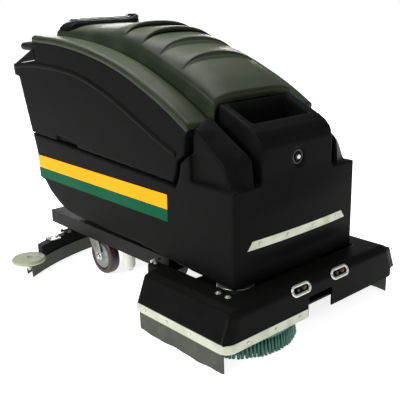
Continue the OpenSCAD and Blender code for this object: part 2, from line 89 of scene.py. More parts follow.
def add_node(tree: bpy.types.NodeTree, kind: str, inputs: dict[Any, Any],
             **settings: Any) -> bpy.types.Node:
    """Adds a shader node, with its settings, values and links.

    Args:
        tree: the node tree it goes in.
        kind: Blender's name for the kind of node.
        inputs: a value or a linked output socket for each input, by name or number.
        settings: attributes of the node itself.

    Returns:
        The new node.
    """
    node = tree.nodes.new(kind)
    for name, value in settings.items():
        setattr(node, name, value)
    for name, value in inputs.items():
        if isinstance(value, bpy.types.NodeSocket):
            tree.links.new(value, node.inputs[name])
        else:
            node.inputs[name].default_value = value
    return node


@dataclass(frozen=True)
class Finish:
    """One real material and how its surface was made. Sizes are in millimetres."""

    name: str
    colour: str
    worn_and_sheen: str                 # colour of its scuffs, stains or dust; on the lid, the colour of its painted sheen
    grain: Grain
    grain_mm: float           # spacing of the fine texture
    depth_mm: float           # depth of the fine texture
    roughness: float
    patch_mm: float = 90.0    # size of the worn patches
    wear: float = 0.35        # how far the worn colour shows in a patch
    dust_and_sheen: float = 0.0         # how far that colour also lies on faces that look up: settled dust, and on the lid a painted sheen
    swing: float = 0.08       # how far the roughness varies
    metallic: float = 0.0
    ior: float = 1.5
    specular: float = 0.5
    transmission: float = 0.0
    coat: float = 0.0

    def height(self, tree: bpy.types.NodeTree,
               place: bpy.types.NodeSocket) -> bpy.types.NodeSocket:
        """Makes the fine texture.

        Args:
            tree: the material's node tree.
            place: the object coordinates.

        Returns:
            The socket with the texture's height.
        """
        scale = 1 / (self.grain_mm * MM)
        if self.grain is Grain.SPANGLE:
            cells = add_node(tree, "ShaderNodeTexVoronoi", {"Vector": place, "Scale": scale})
            return cells.outputs["Distance"]
        drawn_out = {Grain.BRUSHED: (0.03, 1, 1), Grain.STRANDS: (1, 1, 0.06)}
        stretch = drawn_out.get(self.grain, (1, 1, 1))
        run = add_node(tree, "ShaderNodeMapping", {"Vector": place, "Scale": stretch})
        detail = 6.0 if self.grain is Grain.CAST else 2.0
        noise = add_node(tree, "ShaderNodeTexNoise",
                         {"Vector": run.outputs[0], "Scale": scale, "Detail": detail})
        return noise.outputs[0]

    def material(self) -> bpy.types.Material:
        """Makes the Blender material, or finds it if it's made already."""
        made = bpy.data.materials.get(self.name)
        if made:
            return made
        made = bpy.data.materials.new(self.name)
        made.use_nodes = True
        tree = made.node_tree
        tree.nodes.clear()
        place = add_node(tree, "ShaderNodeTexCoord", {}).outputs["Object"]
        patches = add_node(tree, "ShaderNodeTexNoise",
                           {"Vector": place, "Scale": 1 / (self.patch_mm * MM), "Detail": 5.0})
        worn_and_sheen = add_node(tree, "ShaderNodeMapRange",
                        {0: patches.outputs[0], 1: 0.42, 2: 0.72, 3: 0.0, 4: self.wear}).outputs[0]
        # Faces that look up take more of the worn colour: settled dust on most finishes, and on
        # the lid a painted sheen of the overhead light.
        if self.dust_and_sheen:
            facing = add_node(tree, "ShaderNodeNewGeometry", {}).outputs["Normal"]
            up = add_node(tree, "ShaderNodeSeparateXYZ", {0: facing}).outputs["Z"]
            dust_and_sheen_on_level = add_node(tree, "ShaderNodeMapRange",
                             {0: up, 1: 0.8, 2: 1.0, 3: 0.0, 4: self.dust_and_sheen}).outputs[0]
            worn_and_sheen = add_node(tree, "ShaderNodeMath", {0: worn_and_sheen, 1: dust_and_sheen_on_level}, operation="MAXIMUM",
                            use_clamp=True).outputs[0]
        height = self.height(tree, place)
        tint = add_node(tree, "ShaderNodeMix",
                        {0: worn_and_sheen, 6: linear(self.colour), 7: linear(self.worn_and_sheen)},
                        data_type="RGBA")
        rough = add_node(tree, "ShaderNodeMapRange",
                         {0: patches.outputs[0], 1: 0.3, 2: 0.75,
                          3: self.roughness - self.swing, 4: self.roughness + self.swing})
        bump = add_node(tree, "ShaderNodeBump",
                        {"Height": height, "Distance": self.depth_mm * MM, "Strength": 1.0})
        surface = add_node(tree, "ShaderNodeBsdfPrincipled",
                           {"Base Color": tint.outputs[2], "Roughness": rough.outputs[0],
                            "Metallic": self.metallic, "IOR": self.ior,
                            "Specular IOR Level": self.specular,
                            "Transmission Weight": self.transmission,
                            "Coat Weight": self.coat, "Normal": bump.outputs[0]})
        add_node(tree, "ShaderNodeOutputMaterial", {"Surface": surface.outputs[0]})
        return made


# Rotomoulded polyethylene, black: satin, with a faint orange peel and grey dust. The low IOR
# stands for its fine matt skin, which mirrors little of a pale room.
BLACK_POLYETHYLENE = Finish("black_polyethylene_rotomoulded", "#0e0f0e", "#2b2d27", Grain.PEEL,
                            2.2, 0.10, 0.40, dust_and_sheen=0.08, wear=0.06, specular=0.1, ior=1.2)
# The same plastic with a green-grey pigment. Its nearly level parts are painted paler, a painted
# sheen of the overhead light.
LID_POLYETHYLENE = Finish("grey_green_polyethylene_rotomoulded", "#20271b", "#5c6650", Grain.PEEL,
                          2.4, 0.12, 0.40, dust_and_sheen=0.50, wear=0.08, specular=0.2, ior=1.33)
# Cast vinyl film: flat strong colour with a slight gloss and tiny bubbles.
ORANGE_FILM = Finish("orange_vinyl_film", "#ff9d10", "#ee8d10", Grain.PEEL, 6.0, 0.03, 0.5,
                     patch_mm=160, wear=0.3, specular=0.2, ior=1.2)
GREEN_FILM = Finish("green_vinyl_film", "#004c31", "#06422c", Grain.PEEL, 6.0, 0.03, 0.5,
                    patch_mm=160, wear=0.4, specular=0.2, ior=1.2)
# Rolled aluminium strip: pale, with long fine scratches that dull it.
ALUMINIUM_TRIM = Finish("brushed_aluminium_strip", "#b4b8a7", "#8f9282", Grain.BRUSHED, 1.6, 0.03,
                        0.42, patch_mm=60, metallic=0.6, wear=0.5)
# Bright zinc plate on pressed steel: silver with a faint crystal pattern and blue-yellow cast.
ZINC_STEEL = Finish("zinc_plated_steel", "#c9ccc6", "#a39f8c", Grain.SPANGLE, 5.0, 0.02, 0.34,
                    patch_mm=35, metallic=0.85, wear=0.45)
# Powder coat on steel: black, even, with a fine pebbled skin.
BLACK_STEEL = Finish("black_powder_coated_steel", "#101110", "#2c2d28", Grain.PEEL, 1.4, 0.08, 0.5,
                     patch_mm=50, wear=0.2, dust_and_sheen=0.1, specular=0.3, ior=1.25)
# Painted cast housing: grey and pitted.
CAST_HOUSING = Finish("painted_cast_aluminium", "#55595a", "#6f7067", Grain.CAST, 3.0, 0.18, 0.55,
                      patch_mm=40, wear=0.4, dust_and_sheen=0.3)
# Polypropylene battery case: dark grey with a dull moulded skin.
BATTERY_CASE = Finish("battery_polypropylene", "#2f3133", "#4a4b46", Grain.PEEL, 1.8, 0.06, 0.48,
                      patch_mm=70, dust_and_sheen=0.25)
# Tinned copper link: warm metal going brown in patches.
COPPER_LINK = Finish("tarnished_copper", "#b4643c", "#6b4a35", Grain.BRUSHED, 1.2, 0.03, 0.4,
                     patch_mm=14, metallic=1.0, wear=0.6)
# Painted motor can: satin dark steel.
MOTOR_STEEL = Finish("painted_motor_can", "#3c4144", "#5a5c57", Grain.PEEL, 1.5, 0.05, 0.42,
                     patch_mm=45, dust_and_sheen=0.25)
# Natural rubber sheet: grey-green, matt, with dust along it.
GREY_RUBBER = Finish("grey_green_rubber_sheet", "#2a2f23", "#4c5143", Grain.PEEL, 1.6, 0.06, 0.68,
                     patch_mm=55, wear=0.5, ior=1.52)
# Cast polyurethane tread: very dark brown-red, greyer where it has worn.
MAROON_TYRE = Finish("maroon_polyurethane_tyre", "#25110d", "#3a2822", Grain.PEEL, 2.0, 0.05, 0.45,
                     patch_mm=22, wear=0.5)
# Solid rubber drive tyre: dark grey and dusty.
DRIVE_TYRE = Finish("solid_rubber_tyre", "#232321", "#4b4a44", Grain.CAST, 2.0, 0.10, 0.75,
                    patch_mm=25, wear=0.5)
# Non-marking polyurethane bumper: pale grey-green, rubbed darker at its rim.
BUMPER_PLASTIC = Finish("non_marking_polyurethane", "#98a087", "#6f7461", Grain.PEEL, 2.0, 0.05,
                        0.5, patch_mm=30, wear=0.4)
# Natural polypropylene filter bowl: milky and half clear.
FILTER_PLASTIC = Finish("milky_polypropylene", "#e3e6da", "#b9bba8", Grain.PEEL, 3.0, 0.04, 0.35,
                        patch_mm=25, wear=0.4, transmission=0.25)
# Nylon bristle: teal strands, paler and greyer where dirt has dried. A tuft's strands are finer
# than the render shows, so their pattern is drawn 1.5 mm wide.
TEAL_BRISTLE = Finish("teal_nylon_bristle", "#2c6656", "#4f7263", Grain.STRANDS, 1.5, 0.2, 0.5,
                      patch_mm=12, wear=0.5)
# Moulded polycarbonate: clear with a smoky tint and a faint haze.
CLEAR_PLASTIC = Finish("clear_polycarbonate", "#7c8680", "#98a098", Grain.PEEL, 8.0, 0.01, 0.07,
                       patch_mm=80, wear=0.3, swing=0.03, ior=1.585, transmission=0.75)
# Moulded ABS in signal red: glossy, slightly scuffed.
RED_PLASTIC = Finish("red_abs", "#b5211b", "#7d1c18", Grain.PEEL, 2.0, 0.03, 0.3, patch_mm=9)
# Glass-filled nylon for knobs and grips: black with a fine dull grain.
CONTROL_PLASTIC = Finish("black_glass_filled_nylon", "#1c1d1d", "#3b3c39", Grain.CAST, 1.2, 0.04,
                         0.5, patch_mm=16, wear=0.3)
# Grey nylon wheel hub: even mid grey.
HUB_NYLON = Finish("grey_nylon_hub", "#7e8380", "#5d605b", Grain.PEEL, 1.6, 0.04, 0.5, patch_mm=18)
# Iron phosphate bolt: dark brown, dry.
BROWN_BOLT = Finish("phosphated_steel_bolt", "#4a3a2c", "#2b241d", Grain.CAST, 1.0, 0.06, 0.55,
                    patch_mm=8, metallic=0.6)
# Pale print on the console: numbers-free ticks and gauge segments.
PALE_PRINT = Finish("white_pad_print", "#d8dad2", "#b3b5ac", Grain.PEEL, 1.0, 0.01, 0.5,
                    patch_mm=12)
# Moulded lamp lens: smooth, glossy green.
GREEN_LAMP = Finish("green_lamp_lens", "#3ca857", "#2b7a42", Grain.PEEL, 1.0, 0.01, 0.25,
                    patch_mm=6)
# Moulded ABS in signal yellow: glossy, slightly scuffed.
YELLOW_ABS = Finish("yellow_abs", "#e3b21c", "#b98e1a", Grain.PEEL, 2.0, 0.03, 0.35, patch_mm=10)

BY_SLOT = {
    "black_polyethylene": BLACK_POLYETHYLENE, "lid_polyethylene": LID_POLYETHYLENE,
    "orange_film": ORANGE_FILM, "green_film": GREEN_FILM, "aluminium_trim": ALUMINIUM_TRIM,
    "zinc_steel": ZINC_STEEL, "black_steel": BLACK_STEEL, "cast_housing": CAST_HOUSING,
    "battery_case": BATTERY_CASE, "copper_link": COPPER_LINK, "motor_steel": MOTOR_STEEL,
    "grey_rubber": GREY_RUBBER, "maroon_tyre": MAROON_TYRE, "drive_tyre": DRIVE_TYRE,
    "bumper_plastic": BUMPER_PLASTIC, "filter_plastic": FILTER_PLASTIC,
    "teal_bristle": TEAL_BRISTLE, "clear_plastic": CLEAR_PLASTIC, "red_plastic": RED_PLASTIC,
    "control_plastic": CONTROL_PLASTIC,
}


# ---------- shapes ----------

def curve_at(line: Sequence[Flat], x: float) -> float:
    """Reads a smooth curve through points.

    Args:
        line: the points as (x, value), with x rising.
        x: where to read it. Beyond the ends the end value holds.

    Returns:
        The value there.
    """
    if x <= line[0][0]:
        return line[0][1]
    if x >= line[-1][0]:
        return line[-1][1]

    def slope(k: int) -> float:
        """Slope of the curve at point k."""
        a, b = line[max(k - 1, 0)], line[min(k + 1, len(line) - 1)]
        return (b[1] - a[1]) / (b[0] - a[0])

    i = max(k for k in range(len(line) - 1) if line[k][0] <= x)
    (x0, v0), (x1, v1) = line[i], line[i + 1]
    t = (x - x0) / (x1 - x0)
    run = x1 - x0
    return ((2 * t ** 3 - 3 * t ** 2 + 1) * v0 + (t ** 3 - 2 * t ** 2 + t) * run * slope(i)
            + (3 * t ** 2 - 2 * t ** 3) * v1 + (t ** 3 - t ** 2) * run * slope(i + 1))


def smooth(low: float, high: float, value: float) -> float:
    """Rises smoothly from 0 at low to 1 at high."""
    t = min(max((value - low) / (high - low), 0.0), 1.0)
    return t * t * (3 - 2 * t)


def smooth_path(points: Sequence[Point], steps: int) -> list[Point]:
    """Runs a smooth path through points.

    Args:
        points: the points it passes.
        steps: how many pieces each stretch gets.

    Returns:
        The points of the finer path.
    """
    pts = [Vector(p) for p in points]
    made: list[Point] = []
    for i in range(len(pts) - 1):
        a, b = pts[max(i - 1, 0)], pts[i]
        c, d = pts[i + 1], pts[min(i + 2, len(pts) - 1)]
        for k in range(steps):
            t = k / steps
            p = (b * 2 + (c - a) * t + (a * 2 - b * 5 + c * 4 - d) * t ** 2
                 + (b * 3 - a - c * 3 + d) * t ** 3) / 2
            made.append(tuple(p))
    made.append(tuple(pts[-1]))
    return made


def bar_arc(centre: Flat, radius: float, start: float, end: float, steps: int) -> list[Flat]:
    """Points of an arc.

    Args:
        centre: its centre.
        radius: its radius.
        start: first angle in degrees.
        end: last angle in degrees.
        steps: number of stretches.

    Returns:
        The points from start to end.
    """
    turns = [math.radians(start + (end - start) * k / steps) for k in range(steps + 1)]
    return [(centre[0] + radius * math.cos(a), centre[1] + radius * math.sin(a)) for a in turns]


class Shape:
    """A mesh in the making, in millimetres behind the tanks' front plane."""

    def __init__(self) -> None:
        """Starts with an empty mesh."""
        self.bm = bmesh.new()

    def face(self, verts: Sequence[bmesh.types.BMVert]) -> None:
        """Adds a face, unless its corners have run together."""
        if len(set(verts)) > 2:
            self.bm.faces.new(verts)

    def loft(self, rings: Sequence[Sequence[Point]], caps: bool = True,
             wrap: bool = False) -> None:
        """Skins a row of closed rings that have the same number of points.

        Args:
            rings: the rings in order.
            caps: whether the first and last ring are filled.
            wrap: whether the last ring joins the first.
        """
        rows = [[self.bm.verts.new(p) for p in ring] for ring in rings]
        pairs = list(zip(rows, rows[1:]))
        if wrap:
            pairs.append((rows[-1], rows[0]))
        for a, b in pairs:
            for i in range(len(a)):
                j = (i + 1) % len(a)
                self.face((a[i], a[j], b[j], b[i]))
        if caps and not wrap:
            self.face(list(reversed(rows[0])))
            self.face(rows[-1])

    def sheet(self, rows: Sequence[Sequence[Point]]) -> None:
        """Skins a grid of points, open at its edges."""
        grid = [[self.bm.verts.new(p) for p in row] for row in rows]
        for a, b in zip(grid, grid[1:]):
            for i in range(len(a) - 1):
                self.face((a[i], a[i + 1], b[i + 1], b[i]))

    def box(self, low: Point, high: Point) -> None:
        """Adds a block between two corners."""
        (x0, y0, z0), (x1, y1, z1) = low, high
        self.prism([(x0, z0), (x1, z0), (x1, z1), (x0, z1)], y0, y1)

    def prism(self, outline: Sequence[Flat], y0: float, y1: float) -> None:
        """Extrudes a side outline of (x, z) points from y0 to y1."""
        self.loft([[(x, y, z) for x, z in outline] for y in (y0, y1)])

    def plate(self, outline: Sequence[Flat], z0: float, z1: float) -> None:
        """Extrudes a plan outline of (x, y) points from z0 to z1."""
        self.loft([[(x, y, z) for x, y in outline] for z in (z0, z1)])

    def lathe(self, profile: Sequence[Flat], centre: Point, axis: Point, steps: int = 48) -> None:
        """Turns a profile about an axis.

        Args:
            profile: (radius, distance along the axis) points, closed through the axis.
            centre: where distance 0 is.
            axis: direction of the axis.
            steps: number of segments round it.
        """
        turn = Vector((0, 0, 1)).rotation_difference(Vector(axis)).to_matrix()
        origin = Vector(centre)
        rings = []
        for r, h in profile:
            angles = [2 * math.pi * k / steps for k in range(steps)]
            rings.append([tuple(origin + turn @ Vector((r * math.cos(a), r * math.sin(a), h)))
                          for a in angles])
        self.loft(rings)

    def ring(self, profile: Sequence[Flat], centre: Point, axis: Point, steps: int = 64) -> None:
        """Turns a closed profile that stays clear of the axis, as a tyre does."""
        turn = Vector((0, 0, 1)).rotation_difference(Vector(axis)).to_matrix()
        origin = Vector(centre)
        rings = []
        for k in range(steps):
            a = 2 * math.pi * k / steps
            rings.append([tuple(origin + turn @ Vector((r * math.cos(a), r * math.sin(a), h)))
                          for r, h in profile])
        self.loft(rings, wrap=True)

    def tube(self, path: Sequence[Point], wide: float, tall: float, sides: int = 14,
             up: Point = (0, 0, 1), wrap: bool = False) -> None:
        """Sweeps an ellipse along a path.

        Args:
            path: the points of the middle line.
            wide: half width, across both the path and the up direction.
            tall: half height, along the up direction.
            sides: number of points round it.
            up: the direction that the height keeps to.
            wrap: whether the path closes on itself.
        """
        pts = [Vector(p) for p in path]
        rings = []
        for i, p in enumerate(pts):
            after = pts[(i + 1) % len(pts)] if wrap else pts[min(i + 1, len(pts) - 1)]
            before = pts[i - 1] if wrap else pts[max(i - 1, 0)]
            along = (after - before).normalized()
            side = along.cross(Vector(up)).normalized()
            top = side.cross(along)
            angles = [2 * math.pi * k / sides for k in range(sides)]
            rings.append([tuple(p + side * wide * math.cos(a) + top * tall * math.sin(a))
                          for a in angles])
        self.loft(rings, wrap=wrap)

    def bolt(self, place: Point, axis: Point, across: float, height: float) -> None:
        """Adds a hex head on a washer.

        Args:
            place: middle of the washer's underside.
            axis: direction that the head points in.
            across: width of the head over its flats.
            height: height of the head above the washer.
        """
        r = across / math.sqrt(3)
        self.lathe([(0, 0), (across * 0.85, 0), (across * 0.85, 1), (0, 1)], place, axis, 24)
        self.lathe([(0, 0.6), (r, 0.6), (r, height), (r * 0.8, height + 0.8), (0, height + 0.8)],
                   place, axis, 6)

    def node(self, name: str) -> None:
        """Adds a copy of a CAD node's mesh, with its seams closed."""
        copy = bmesh.new()
        copy.from_mesh(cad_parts[name].data)
        bmesh.ops.transform(copy, matrix=TO_FRAME.inverted(), verts=copy.verts)
        bmesh.ops.remove_doubles(copy, verts=copy.verts, dist=0.01)
        spare = bpy.data.meshes.new("spare")
        copy.to_mesh(spare)
        self.bm.from_mesh(spare)
        copy.free()
        bpy.data.meshes.remove(spare)

    def tilted(self, origin: Point, degrees: float) -> None:
        """Moves the shape onto a panel that slopes about Y, from the panel's own place."""
        turn = Matrix.Translation(origin) @ Matrix.Rotation(math.radians(degrees), 4, "Y")
        bmesh.ops.transform(self.bm, matrix=turn, verts=self.bm.verts)

    def both_sides(self) -> None:
        """Adds the mirror image on the machine's other side."""
        whole = self.bm.verts[:] + self.bm.edges[:] + self.bm.faces[:]
        made = bmesh.ops.duplicate(self.bm, geom=whole)
        verts = [g for g in made["geom"] if isinstance(g, bmesh.types.BMVert)]
        faces = [g for g in made["geom"] if isinstance(g, bmesh.types.BMFace)]
        for v in verts:
            v.co.y = -v.co.y
        bmesh.ops.reverse_faces(self.bm, faces=faces)

    def thing(self, name: str) -> bpy.types.Object:
        """Turns the shape into a Blender object in the frame, in metres.

        Args:
            name: the object's name.

        Returns:
            The object.
        """
        bmesh.ops.remove_doubles(self.bm, verts=self.bm.verts, dist=0.01)
        bmesh.ops.dissolve_degenerate(self.bm, edges=self.bm.edges, dist=0.005)
        bmesh.ops.recalc_face_normals(self.bm, faces=self.bm.faces)
        bmesh.ops.transform(self.bm, matrix=TO_FRAME, verts=self.bm.verts)
        mesh = bpy.data.meshes.new(name)
        self.bm.to_mesh(mesh)
        self.bm.free()
        mesh.polygons.foreach_set("use_smooth", [True] * len(mesh.polygons))
        made = bpy.data.objects.new(name, mesh)
        bpy.context.scene.collection.objects.link(made)
        return made


def apply_modifiers(thing: bpy.types.Object) -> None:
    """Makes the object's modifiers part of its mesh."""
    depsgraph = bpy.context.evaluated_depsgraph_get()
    mesh = bpy.data.meshes.new_from_object(thing.evaluated_get(depsgraph))
    thing.modifiers.clear()
    thing.data = mesh
    mesh.polygons.foreach_set("use_smooth", [True] * len(mesh.polygons))


def remould(thing: bpy.types.Object, voxel: float, passes: int) -> None:
    """Joins overlapping forms into one skin and rounds its edges, as in a hot mould.

    Args:
        thing: the object, made of closed forms.
        voxel: size of the new skin's squares in millimetres.
        passes: how often it's smoothed. More passes give rounder edges.
    """
    remesh = thing.modifiers.new("remesh", "REMESH")
    remesh.mode = "VOXEL"
    remesh.voxel_size = voxel * MM
    relax = thing.modifiers.new("relax", "SMOOTH")
    relax.factor = 0.5
    relax.iterations = passes
    apply_modifiers(thing)


def carve(thing: bpy.types.Object, tool: Shape) -> None:
    """Cuts a shape out of an object.

    Args:
        thing: the object.
        tool: the closed forms that are cut away.
    """
    knife = tool.thing("knife")
    cut = thing.modifiers.new("cut", "BOOLEAN")
    cut.object = knife
    cut.operation = "DIFFERENCE"
    cut.solver = "EXACT"
    apply_modifiers(thing)
    bpy.data.objects.remove(knife)


def thin_out(thing: bpy.types.Object, share: float) -> None:
    """Drops the faces that a dense skin doesn't need.

    Args:
        thing: the object.
        share: how much of its faces stay.
    """
    fewer = thing.modifiers.new("fewer", "DECIMATE")
    fewer.ratio = share
    apply_modifiers(thing)


def soften(thing: bpy.types.Object, width: float, steps: int = 2, angle: float = 34) -> None:
    """Rounds an object's hard edges and shades the rest flat.

    Args:
        thing: the object.
        width: width of the rounding in millimetres.
        steps: number of faces across it.
        angle: edges sharper than this many degrees are rounded.
    """
    weld = thing.modifiers.new("weld", "WELD")
    weld.merge_threshold = 0.01 * MM
    flat = thing.modifiers.new("flat", "DECIMATE")
    flat.decimate_type = "DISSOLVE"
    flat.angle_limit = math.radians(0.6)
    bevel = thing.modifiers.new("bevel", "BEVEL")
    bevel.width = width * MM
    bevel.segments = steps
    bevel.limit_method = "ANGLE"
    bevel.angle_limit = math.radians(angle)
    bevel.use_clamp_overlap = True
    bevel.harden_normals = False
    shade = thing.modifiers.new("shade", "WEIGHTED_NORMAL")
    shade.keep_sharp = False


def dress(thing: bpy.types.Object, finish: Finish, body: str,
          stands_for: Iterable[str] = ()) -> bpy.types.Object:
    """Gives a piece its material and fixes it to the frame.

    Args:
        thing: the piece.
        finish: its material.
        body: the CAD body that it moves with.
        stands_for: CAD nodes that it replaces.

    Returns:
        The piece.
    """
    thing.data.materials.clear()
    thing.data.materials.append(finish.material())
    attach(thing, body)
    names = tuple(stands_for)
    if names:
        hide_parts(*names)
    log.info("%s rides on %s, %d faces", thing.name, body, len(thing.data.polygons))
    return thing


# ---------- studio ----------

@dataclass
class Studio:
    """The camera, the lights and the pale floor."""

    place: Point = (2.0903, -1.7215, 1.150)
    azimuth: float = 48.59
    elevation: float = 17.02
    roll: float = -1.417
    lens: float = 60.91
    shift: Flat = (-0.0042, -0.0008)
    surround: float = 0.30

    def camera(self) -> None:
        """Makes the camera at its place, level apart from its small roll."""
        a, e, t = (math.radians(v) for v in (self.azimuth, self.elevation, self.roll))
        ahead = Vector((-math.sin(a) * math.cos(e), math.cos(a) * math.cos(e), -math.sin(e)))
        right = Vector((math.cos(a), math.sin(a), 0))
        up = right.cross(ahead)
        right, up = (right * math.cos(t) + up * math.sin(t),
                     up * math.cos(t) - right * math.sin(t))
        data = bpy.data.cameras.new("camera")
        data.lens = self.lens
        data.shift_x, data.shift_y = self.shift
        data.clip_start, data.clip_end = 0.05, 60
        made = bpy.data.objects.new("camera", data)
        turn = Matrix((right, up, -ahead)).transposed().to_4x4()
        made.matrix_world = Matrix.Translation(self.place) @ turn
        bpy.context.scene.collection.objects.link(made)
        bpy.context.scene.camera = made

    def softbox(self, name: str, place: Point, target: Point, size: Flat, power: float) -> None:
        """Hangs a rectangular soft light.

        Args:
            name: its name.
            place: where it hangs.
            target: what it points at.
            size: its width and height in metres.
            power: its power in watts.
        """
        data = bpy.data.lights.new(name, "AREA")
        data.shape = "RECTANGLE"
        data.size, data.size_y = size
        data.energy = power
        made = bpy.data.objects.new(name, data)
        made.location = place
        aim = Vector(target) - Vector(place)
        made.rotation_mode = "QUATERNION"
        made.rotation_quaternion = aim.to_track_quat("-Z", "Y")
        bpy.context.scene.collection.objects.link(made)

    def floor(self) -> None:
        """Lays a wide pale floor."""
        bm = bmesh.new()
        bmesh.ops.create_grid(bm, x_segments=8, y_segments=8, size=30)
        mesh = bpy.data.meshes.new("floor")
        bm.to_mesh(mesh)
        bm.free()
        made = bpy.data.objects.new("floor", mesh)
        material = bpy.data.materials.new("white_paper_floor")
        material.use_nodes = True
        shader = material.node_tree.nodes["Principled BSDF"]
        shader.inputs["Base Color"].default_value = linear("#f4f4f2")
        shader.inputs["Roughness"].default_value = 0.9
        shader.inputs["Specular IOR Level"].default_value = 0.1
        shader.inputs["Emission Color"].default_value = (1, 1, 1, 1)
        shader.inputs["Emission Strength"].default_value = 0.8
        mesh.materials.append(material)
        bpy.context.scene.collection.objects.link(made)

    def world(self) -> None:
        """Surrounds the scene with a white backdrop that sheds only a little light."""
        world = bpy.data.worlds.new("studio")
        world.use_nodes = True
        tree = world.node_tree
        seen = add_node(tree, "ShaderNodeLightPath", {}).outputs["Is Camera Ray"]
        strength = add_node(tree, "ShaderNodeMapRange", {0: seen, 3: self.surround, 4: 1.0})
        back = tree.nodes["Background"]
        back.inputs["Color"].default_value = (1, 1, 1, 1)
        tree.links.new(strength.outputs[0], back.inputs["Strength"])
        bpy.context.scene.world = world

    def build(self) -> None:
        """Makes the whole studio."""
        self.camera()
        self.world()
        self.floor()
        self.softbox("overhead", (-0.9, 0.4, 3.2), (-0.4, 0, 0.5), (2.4, 2.2), 90)
        self.softbox("behind", (-3.4, 2.7, 1.8), (-0.4, 0, 1.0), (3.0, 0.8), 55)
        self.softbox("side_fill", (-0.4, -4.2, 2.6), (-0.3, 0, 0.4), (3.0, 1.6), 170)
        self.softbox("front_fill", (3.8, 0.9, 2.4), (0.4, 0, 0.4), (1.6, 1.6), 25)
        bpy.context.scene.view_settings.view_transform = "Standard"


# ---------- tanks ----------

